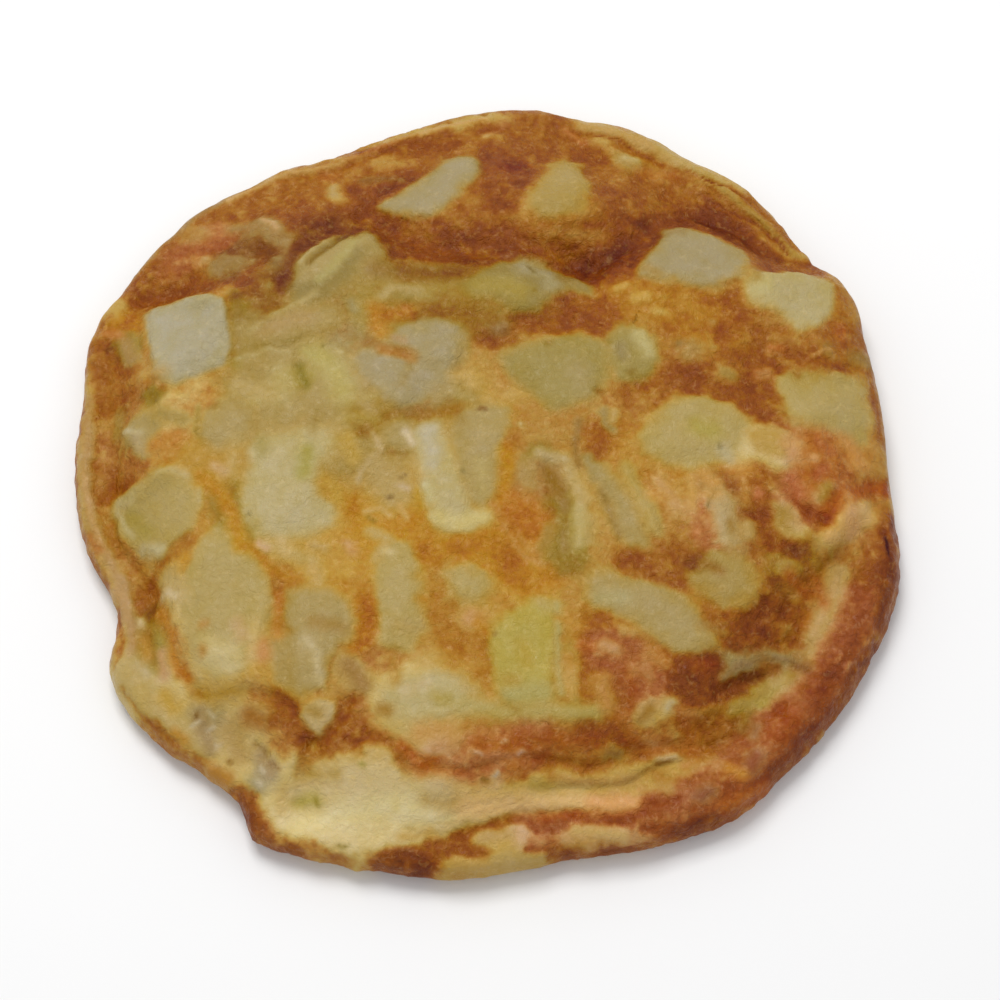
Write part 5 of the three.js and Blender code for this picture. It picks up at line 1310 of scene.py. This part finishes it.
PATCH_WANDER = 1.1      # mm by which the edges of patches wander
MARK_WANDER = 0.42      # the same for the smaller marks
FIRST_BROWNING = 0.36   # all over, before any patch
HALO_BROWNING = 0.44    # where egg climbs the side of a piece
MOTTLING = 0.36
LUMP_PALER = 0.18
PAN_BROWNING = 0.70


def blend(base, tone, share):
    """Lays a colour over the colours of the points."""
    share = share[:, None]
    return base * (1 - share) + np.array(linear(tone)[:3]) * share


def colours_at(points):
    """How brown the food is at each point, and its colour under the browning.
    Both hold painted shade and painted highlights in places.
    """
    flat = points * (1, 1, 0.6)
    sway = layered(flat, (1.0, 7.0, 1), (0.8, 2.8, 2), (0.6, 1.2, 7))
    swerve = layered(flat, (1.0, 7.0, 3), (0.8, 2.8, 4), (0.6, 1.2, 8))
    wander = points + PATCH_WANDER * np.stack([sway, swerve, 0 * sway], 1)
    nudge = points + MARK_WANDER * np.stack([sway, swerve, 0 * sway], 1)
    browning = np.full(len(points), FIRST_BROWNING)
    ground = np.tile(linear(EGG_TONE)[:3], (len(points), 1))
    for tone, *patch in GROUND_PATCHES:
        ground = blend(ground, tone, cover(patch, wander))
    for brown, *patch in BROWNED_AND_SHADED_PATCHES:
        share = cover(patch, wander)
        browning = browning * (1 - share) + brown * share

    # The egg fries golden in places where it climbs the sides of a piece. The middle of a piece
    # is whiter than its edges, and its edges are sharp here and blurred by egg there.
    climb = soft(0.45 + 0.9 * grain(points, 9.0, 31))
    blur = soft(0.36 + 1.2 * grain(points, 8.0, 32))
    for tone, brown, width, fade, outline in POTATO_PATCHES:
        rim = cover((width + 1.2, fade + 2.4, outline), wander) * climb
        browning = browning + (HALO_BROWNING - browning) * 0.50 * rim
        ground = blend(ground, HALO_TONE, 0.40 * rim)
        sharp = cover((width, fade, outline), nudge)
        body = sharp + (cover((width, 1.8 * fade + 1.0, outline), wander) - sharp) * blur
        browning = browning * (1 - body) + brown * body
        ground = blend(ground, tone, body)
        core = cover((width - 2.6, fade + 2.0, outline), wander)
        whiter = np.stack([0 * core, 0.02 * core - 0.01 * body, 0.14 * core - 0.08 * body], 1)
        ground = ground * (1 + whiter)
    for tone, brown, *patch in DETAILS:
        share = cover(patch, nudge)
        browning = browning * (1 - share) + brown * share
        if tone:
            ground = blend(ground, tone, share)
    # All of it is mottled, the browned parts most.
    mottle = layered(flat, (0.50, 4.4, 11), (0.42, 2.2, 12), (0.20, 1.1, 13))
    browning = browning + mottle * MOTTLING * np.clip(browning, 0.08, 0.6)
    # Dry paler lumps stand out of the browned skin.
    lump = soft((layered(points, (0.7, 2.6, 16), (0.5, 1.3, 17)) - 0.25) / 0.4)
    browning = browning - LUMP_PALER * lump * soft((browning - 0.35) / 0.3)
    # The underside browned evenly against the pan.
    under = soft((1.8 - points[:, 2]) / 1.4)
    pan = PAN_BROWNING + 0.14 * grain(points, 12.0, 41) + 0.14 * grain(points, 3.5, 42)
    browning = browning * (1 - under) + pan * under
    ground = blend(ground, EGG_TONE, under)
    # White and yolk were never quite mixed, which clouds the colour, its yellow most.
    cloud = layered(flat, (0.6, 4.5, 14), (0.55, 1.8, 15))
    ground = ground * (np.array((0.975, 0.98, 1.01)) + cloud[:, None] * (0.04, 0.07, 0.26))
    return browning, ground


# Raised rolls and sunken creases of the skin: height in mm, half-width, fade and path.
FOLDS = [
    # Far valley.
    (-0.72, 1.5, 4.4, [(-76, 41), (-63, 42.5), (-50, 50), (-38, 54), (-27, 59), (-18, 53), (-5, 49),
                       (12, 50), (24, 45)]),
    (-0.81, 1.2, 3.7, [(24, 45), (30, 49), (38, 57), (47, 62), (56, 58), (63, 51)]),
    (-0.6, 0.8, 3.1, [(-29, 60), (-25.5, 65), (-20, 67), (-15, 71)]),
    # Layered far rim.
    (0.31, 0.7, 2.2, [(-46, 72.6), (-36, 74.4), (-25, 79), (-15, 82.5), (0, 86)]),
    (-0.37, 0.4, 1.9, [(-46, 71.2), (-36, 72.6), (-25, 77.6), (-15, 80.6)]),
    (-0.31, 0.4, 1.9, [(-40, 76.6), (-30, 79), (-20, 83), (-10, 86), (0, 88)]),
    (0.43, 1.2, 2.8, [(22, 85.4), (30, 83), (36, 80.4), (42, 77), (50, 72.6)]),
    (0.43, 0.7, 2.2, [(50, 71), (57.5, 65.6), (65, 58), (70, 51)]),
    (-0.56, 0.4, 1.9, [(46, 67), (54, 63.8), (58.4, 61.6), (62, 59.4), (66, 55.4), (68.6, 51.4)]),
    (-0.43, 0.3, 1.6, [(24, 83.4), (36, 78.4), (46, 73.6), (52, 70), (59, 66), (66, 60)]),
    # Mound at the far left.
    (0.46, 0.8, 3.6, [(-50, 28.4), (-45.4, 31.6), (-38, 35.6)]),
    (-0.5, 0.3, 2, [(-38.6, 44.4), (-36, 47.6), (-33.4, 50.6), (-31, 52.6)]),
    (0.28, 0.6, 2.4, [(-40.6, 44.6), (-38.6, 48), (-35.4, 51.4), (-32, 53.4)]),
    (-0.25, 0.3, 1.9, [(-49, 23.6), (-44, 22.8), (-38, 26)]),
    (0.43, 0.6, 2.5, [(-22.6, 34.4), (-21, 36.4), (-18.8, 38.8), (-16.6, 36.6)]),
    (-0.5, 0.7, 2.2, [(-39.9, 18.8), (-39.6, 15.6), (-39, 13.4)]),
    (-0.56, 0.8, 2.2, [(-72.8, 13.4), (-72, 11.8)]),
    (0.37, 0.5, 2.2, [(-78.4, 6.2), (-76.4, 4.6), (-73.6, 4)]),
    (-0.31, 0.3, 2.2, [(-50, 1.7), (-42, 4.3), (-36, 4.9), (-31.6, 7.4)]),
    # White die, raised with a crease round it.
    (0.43, -0.4, 1.9, [(-75.5, 38.3), (-66, 39), (-57.2, 36.5), (-54.6, 21), (-66, 14.6), (-72, 17),
                       (-75.5, 38.3)]),
    (-0.31, 0.3, 2.2, [(-77, 39), (-76.8, 28), (-72.6, 16)]),
    (-0.31, 0.3, 2.2, [(-55.4, 35), (-53.4, 25), (-53.4, 20)]),
    # Middle.
    (-0.31, 0.6, 1.9, [(11, 37), (11.1, 37)]),
    (-0.31, 0.4, 1.6, [(27, 24.4), (27.1, 24.4)]),
    (-0.68, 0, 1.9, [(11.8, -5.4), (13.4, -3.8), (15.4, -4.8), (17, -8), (18.8, -12), (18.8, -16),
                     (17, -17), (15, -14), (13.4, -9), (11.8, -5.4)]),
    (-0.5, 0, 1.9, [(17, -18), (18.2, -21), (18.2, -25), (17.6, -27), (15.6, -26.4), (15.4, -23),
                    (16.4, -19), (17, -18)]),
    (0.31, 0.8, 2.5, [(19.2, -5), (20.4, -10), (22, -14), (21.6, -20), (20.6, -24.6)]),
    (-0.37, 0.4, 2.2, [(20, 5), (19.6, 0), (20.4, -5)]),
    (-0.43, 0.5, 2.2, [(25.6, -13), (27, -18), (29, -23)]),
    (0.31, 0.6, 2.2, [(31, -9), (34.6, -16), (37, -23)]),
    (-0.31, 0.5, 2.2, [(36, -15), (38.4, -22)]),
    (0.31, 0.6, 2.5, [(-14.6, 3), (-13, -6), (-11, -16)]),
    (-0.25, 0.3, 1.9, [(-9, 2), (-6, -5), (-4, -12)]),
    (0.25, 1, 2.5, [(-6, -20), (0, -18)]),
    # Right-hand field.
    (-0.45, 1.4, 3.1, [(69, -14.6), (71.6, -16.6)]),
    (-0.45, 1, 2.9, [(63.6, -22.4), (66.4, -24)]),
    (-0.38, 1.2, 2.9, [(57, -12.6), (59, -16.6)]),
    (0.38, 1.4, 2.9, [(62, -14), (65, -18)]),
    (0.38, 1.4, 2.9, [(70, -21.6), (72.4, -24)]),
    (0.45, 1.8, 3.1, [(58, 1), (64, 0), (63, -4)]),
    (-0.37, 0.4, 2.2, [(78.4, 4), (78.6, -4), (76.4, -9), (72, -17)]),
    (0.68, 1.8, 3.1, [(81, -11), (77, -15.6), (73.6, -20)]),
    (-0.56, 0.6, 2.8, [(83, -16), (77, -21.4), (72, -27), (68, -31), (65, -35)]),
    (0.52, 1.6, 3.1, [(78.4, -25), (75, -31), (71.6, -37), (69.4, -41)]),
    (-0.43, 0.3, 1.9, [(49.4, -12), (47.8, -14), (47.4, -16.6)]),
    (-0.72, 2.4, 3.3, [(56, -40), (61, -37), (64, -34.6)]),
    (0.37, 0.2, 1.5, [(57, -37.6), (59, -39), (61.6, -39.6)]),
    (-0.37, 0.5, 2.5, [(57, 24.6), (63, 22.6), (69, 21.2), (82, 20.8)]),
    # Left rim.
    (0.37, 1, 2.5, [(-87, 12), (-87.4, 4), (-86, -11), (-81.6, -22)]),
    (-0.43, 0.7, 2.8, [(-84, 20), (-83, 10), (-80.6, 0), (-82, -10), (-79, -19), (-75, -25), (-71, -33)]),
    (0.37, 1, 2.5, [(-77.4, -27), (-75.4, -35), (-75, -44)]),
    (-0.37, 0.8, 2.5, [(-72.6, -40), (-72, -46)]),
    (-0.31, 0.6, 2.5, [(-69, -38), (-65.4, -46), (-60, -53)]),
    # Near left folds.
    (-0.9, 1, 3.1, [(-50, -55), (-45, -57), (-40, -60), (-36, -66.6)]),
    (-0.75, 0.8, 3.1, [(-36, -67), (-31.6, -64.6), (-28, -58)]),
    (-0.75, 0.6, 2.9, [(-36, -67), (-37.6, -73), (-38, -78)]),
    (-0.6, 1, 3.1, [(-29, -67), (-24, -65)]),
    (0.52, 1.2, 2.6, [(-35, -59), (-34, -63)]),
    (-0.37, 0.3, 1.9, [(-32, -45), (-33, -54)]),
    (-0.5, 0.4, 1.9, [(-48.6, -64), (-46.4, -65.4), (-44.8, -67.6)]),
    (-0.31, 0.3, 1.6, [(-49.6, -68), (-47, -70.4), (-46, -73)]),
    (-0.31, 0.3, 1.6, [(-45.4, -68), (-43.6, -70.6), (-41.4, -71.4)]),
    (-0.31, 0.5, 1.6, [(-60, -58), (-59.8, -58.8)]),
    # Near wall.
    (-0.74, 0.6, 2.5, [(-18, -67), (-11, -72), (-3, -73), (8, -70), (17, -70.4), (22, -71.2), (28, -69),
                       (33, -67), (43, -66), (50, -64), (56, -61)]),
    (0.56, 0.9, 2.5, [(12, -73.6), (20, -73), (26, -73), (31, -71), (36, -68.6), (41, -67.2)]),
    (-0.5, 0.3, 1.6, [(16, -75), (22, -74.9), (28, -73.7), (33, -71.6), (37, -70), (41, -69)]),
    (0.31, 0.8, 2.5, [(0, -78), (10, -77), (20, -78), (30, -78.4)]),
    (-0.31, 0.3, 1.6, [(-16, -83.2), (-8, -81.6), (0, -78.6), (6, -77.6)]),
    (-0.31, 0.3, 1.6, [(-14, -84.8), (-6, -83), (0, -80.6), (6, -79)]),
    (-0.37, 0.5, 2.2, [(-6, -85), (3, -81.4), (9, -80), (20, -79.4), (31, -80), (38, -77)]),
    (-0.43, 0.5, 1.6, [(22, -73), (22.6, -73.4)]),
    (-0.31, 0.5, 1.6, [(36, -69.8), (38.6, -69.2)]),
    (-0.37, 0.5, 1.6, [(-0.4, -74.4), (0.6, -74.6)]),
    (-0.75, 0.8, 2.6, [(49.6, -55), (54, -52.4), (59, -50)]),
    (-0.31, 0.4, 1.9, [(-30, -86.4), (-27.6, -86.2)]),
    (-0.31, 0.4, 1.9, [(-35, -76.4), (-34.8, -77.6)]),
]

BROWNED_DROP = 0.9      # mm that dark skin lies lower than pale skin, where it dried out
DIE_DROP = 0.5          # mm that takes back how far the fused dice stand out

# The skin swells and wrinkles, finest where it is browned, and is folded.
points = places(egg)
facing = directions(egg)
browning, ground = colours_at(points)
lift = layered(points, (0.30, 9.0, 21), (0.22, 4.5, 22))
wrinkling = 0.05 + 0.12 * np.clip(browning, 0, 0.8)
lift += wrinkling * layered(points, (1.0, 2.2, 25), (0.7, 1.4, 26))
lift -= BROWNED_DROP * (np.clip(browning, 0.05, 0.95) - 0.35)
proud = np.zeros(len(points))
for outline in OUTLINES.values():
    proud = np.maximum(proud, cover((-0.8, 2.8, outline), points))
lift -= DIE_DROP * proud
sway = np.stack([grain(points, 6.0, 23), grain(points, 6.0, 24), np.zeros(len(points))], 1)
for height, *patch in FOLDS:
    lift += height * cover(patch, points + 0.5 * sway)
lift *= soft((points[:, 2] - 0.6) / 3.0)   # none of it on the flat underside
put(egg, points + facing * lift[:, None])

# The skin as it is here, before it sinks at the potato, is what the dice follow.
skin = BVHTree.FromObject(egg, bpy.context.evaluated_depsgraph_get())


def skin_height(points):
    """Height of the egg's skin under or over each point, in millimetres."""
    heights = []
    for x, y, z in points:
        hit = skin.ray_cast(Vector((x * MM, y * MM, 0.05)), Vector((0, 0, -1)))[0]
        heights.append(hit.z / MM if hit else z)
    return np.array(heights)


# Under each die the egg's skin is hidden. It lies deeper there, clear of the die's top.
DIE_BED = 1.2           # mm below the skin

points = places(egg)
facing = directions(egg)
sink = np.zeros(len(points))
for outline in OUTLINES.values():
    sink = np.maximum(sink, cover((-2.4, 1.2, outline), points))
sink *= soft(facing[:, 2] / 0.4)
points[:, 2] -= DIE_BED * sink
put(egg, points)


def paint(piece, browning, ground):
    """Lays the browning and the ground colour on a piece."""
    layer = piece.data.attributes.new("browning", "FLOAT", "POINT")
    layer.data.foreach_set("value", browning)
    layer = piece.data.attributes.new("ground", "FLOAT_COLOR", "POINT")
    layer.data.foreach_set("color", np.column_stack([ground, np.ones(len(ground))]).ravel())


# Linear colours: what wisps of egg white and painted glints add, and what makes room for the oil's sheen.
WISP_AND_GLINT_COLOUR = (0.095, 0.072, 0.038, 0.0)
OIL_VEIL = (0.018, 0.020, 0.021, 0.0)

# Sizes of what is too fine for the mesh, in millimetres.
BLISTER = 2.4
FLECK = 1.0
WISP = 3.0              # from one wisp to the next
BREAK = 1.8             # from one break in a wisp to the next
WRINKLE = 1.5
WRINKLE_DEPTH = 0.9


def food_surface(name):
    """A cooked surface: ground colour under mottled browning, finely pitted and moist."""
    food = bpy.data.materials.new(name)
    food.use_nodes = True
    tree = food.node_tree
    surface = tree.nodes["Principled BSDF"]
    where = add(tree, "ShaderNodeTexCoord").outputs["Object"]
    browning = add(tree, "ShaderNodeAttribute", attribute_name="browning").outputs["Fac"]
    ground = add(tree, "ShaderNodeAttribute", attribute_name="ground").outputs["Color"]

    # Blisters and flecks shift the browning, most where it is browned.
    blister = add(tree, "ShaderNodeTexNoise",
                  {"Vector": where, "Scale": 1 / (BLISTER * MM), "Detail": 2.0, "Roughness": 0.5})
    fleck = add(tree, "ShaderNodeTexNoise",
                {"Vector": where, "Scale": 1 / (FLECK * MM), "Detail": 0.0, "Roughness": 0.5})
    reach = add(tree, "ShaderNodeMapRange",
                {"Value": browning, "From Min": 0.0, "From Max": 0.6, "To Min": 0.07, "To Max": 0.20})
    both = add(tree, "ShaderNodeMath", {0: blister.outputs["Fac"], 1: fleck.outputs["Fac"]},
               operation="ADD")
    uneven = add(tree, "ShaderNodeMath", {0: both.outputs[0], 1: 1.0}, operation="SUBTRACT")
    uneven = add(tree, "ShaderNodeMath", {0: uneven.outputs[0], 1: reach.outputs[0]}, operation="MULTIPLY")
    level = add(tree, "ShaderNodeMath", {0: browning, 1: uneven.outputs[0]}, operation="ADD")
    level = add(tree, "ShaderNodeMath", {0: level.outputs[0], 1: BROWNEST},
                operation="DIVIDE", use_clamp=True)
    left = add(tree, "ShaderNodeValToRGB", {"Fac": level.outputs[0]})
    pale = linear(EGG_BROWNING[0][1])
    for place, (brown, colour) in enumerate(EGG_BROWNING):
        if place < 2:
            stop = left.color_ramp.elements[place]
            stop.position = brown / BROWNEST
        else:
            stop = left.color_ramp.elements.new(brown / BROWNEST)
        stop.color = [a / b for a, b in zip(linear(colour), pale)]
    colour = add(tree, "ShaderNodeMix", {"Factor": 1.0, 6: ground, 7: left.outputs["Color"]},
                 data_type="RGBA", blend_type="MULTIPLY")

    # Wisps of set egg white, thin and broken, lie over it in places. They are also painted glints:
    # pale flecks that stand for the oil's highlights, strongest where the skin is browned.
    wisp_and_glint = add(tree, "ShaderNodeTexNoise",
               {"Vector": where, "Scale": 1 / (WISP * MM), "Detail": 2.0, "Roughness": 0.6,
                "Distortion": 0.4})
    wisp_and_glint = add(tree, "ShaderNodeMath", {0: wisp_and_glint.outputs["Fac"], 1: 0.5}, operation="SUBTRACT")
    wisp_and_glint = add(tree, "ShaderNodeMath", {0: wisp_and_glint.outputs[0]}, operation="ABSOLUTE")
    wisp_and_glint = add(tree, "ShaderNodeMapRange",
               {"Value": wisp_and_glint.outputs[0], "From Min": 0.0, "From Max": 0.06, "To Min": 1.0, "To Max": 0.0},
               interpolation_type="SMOOTHSTEP")
    patchy = add(tree, "ShaderNodeTexNoise",
                 {"Vector": where, "Scale": 1 / (BREAK * MM), "Detail": 1.0, "Roughness": 0.6})
    patchy = add(tree, "ShaderNodeMapRange",
                 {"Value": patchy.outputs["Fac"], "From Min": 0.50, "From Max": 0.66,
                  "To Min": 0.0, "To Max": 1.0})
    dry = add(tree, "ShaderNodeMapRange",
              {"Value": browning, "From Min": 0.1, "From Max": 0.6, "To Min": 0.5, "To Max": 0.75})
    wisp_and_glint = add(tree, "ShaderNodeMath", {0: wisp_and_glint.outputs[0], 1: patchy.outputs[0]}, operation="MULTIPLY")
    wisp_and_glint = add(tree, "ShaderNodeMath", {0: wisp_and_glint.outputs[0], 1: dry.outputs[0]}, operation="MULTIPLY")
    glinted = add(tree, "ShaderNodeMix", {"Factor": wisp_and_glint.outputs[0], 6: colour.outputs[2], 7: WISP_AND_GLINT_COLOUR},
                 data_type="RGBA", blend_type="ADD")

    # The oil's sheen whitens everything a little, so what lies under it is that much darker.
    under = add(tree, "ShaderNodeMix", {"Factor": 1.0, 6: glinted.outputs[2], 7: OIL_VEIL},
                data_type="RGBA", blend_type="SUBTRACT", clamp_result=True)
    tree.links.new(under.outputs[2], surface.inputs["Base Color"])

    # The skin is finely wrinkled, rougher where it is browned.
    wrinkle = add(tree, "ShaderNodeTexNoise",
                  {"Vector": where, "Scale": 1 / (WRINKLE * MM), "Detail": 4.0, "Roughness": 0.6,
                   "Distortion": 0.6})
    crisp = add(tree, "ShaderNodeMapRange",
                {"Value": browning, "From Min": 0.0, "From Max": 0.7, "To Min": 0.55, "To Max": 0.95})
    bump = add(tree, "ShaderNodeBump",
               {"Height": wrinkle.outputs["Fac"], "Strength": crisp.outputs[0],
                "Distance": WRINKLE_DEPTH * MM})
    tree.links.new(bump.outputs["Normal"], surface.inputs["Normal"])

    gloss = add(tree, "ShaderNodeMapRange",
                {"Value": blister.outputs["Fac"], "From Min": 0.35, "From Max": 0.65,
                 "To Min": 0.30, "To Max": 0.55})
    tree.links.new(gloss.outputs[0], surface.inputs["Roughness"])
    surface.inputs["IOR"].default_value = 1.4
    surface.inputs["Specular IOR Level"].default_value = 0.28
    surface.inputs["Subsurface Weight"].default_value = 0.10
    surface.inputs["Subsurface Radius"].default_value = (1.0, 0.6, 0.25)
    surface.inputs["Subsurface Scale"].default_value = 1.2 * MM
    return food


# Fried egg: set egg protein, browned and slightly oily, so half matt with small glints.
fried_egg = food_surface("fried egg")

paint(egg, browning, ground)
egg.data.materials.append(fried_egg)
egg.data.shade_smooth()
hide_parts("egg")
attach(egg, "root")


# ---------------------------------------------------------------------------------------
# The potato dice.
# Peeled potato cut by hand in uneven blocks and cooked soft, so corners and edges are
# rounded. Each is a piece of its own, set in the egg, with a film of egg over its edges.
# ---------------------------------------------------------------------------------------

DIE_MESH = 0.65 * MM
DIE_PASSES = 4          # of smoothing, for corners that cooked soft
DIE_SHOWS = 0.07        # mm that a top stands above the egg round it
EDGE_DROP = 0.16        # mm that the outer part of a top lies lower than its middle
RIM_DROP = 0.5          # mm more at its very edge, which ends below the skin

# Boiled waxy potato: moist and pale, with the same browned film of egg on it as its surroundings.
cooked_potato = food_surface("cooked potato")

# Each top follows the skin, and so do the dice's sides where they would stand out of it.
for node in DICE:
    die = loose_copy(node, "visual_" + node)
    die.data.remesh_voxel_size = DIE_MESH
    bpy.ops.object.voxel_remesh()
    modify(die, "SMOOTH", factor=0.5, iterations=DIE_PASSES)
    points = places(die)
    facing = directions(die)
    middle = cover((-1.4, 1.6, OUTLINES[node]), points)
    inside = cover((-0.4, 0.8, OUTLINES[node]), points)
    goal = skin_height(points) + DIE_SHOWS - EDGE_DROP * (1 - middle) - RIM_DROP * (1 - inside)
    top = soft((facing[:, 2] - 0.1) / 0.3)
    rise = goal - points[:, 2]
    points[:, 2] += rise * top + np.minimum(rise, 0) * (1 - top)
    put(die, points)
    paint(die, *colours_at(points))
    die.data.materials.append(cooked_potato)
    die.data.shade_smooth()
    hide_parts(node)
    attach(die, "root")
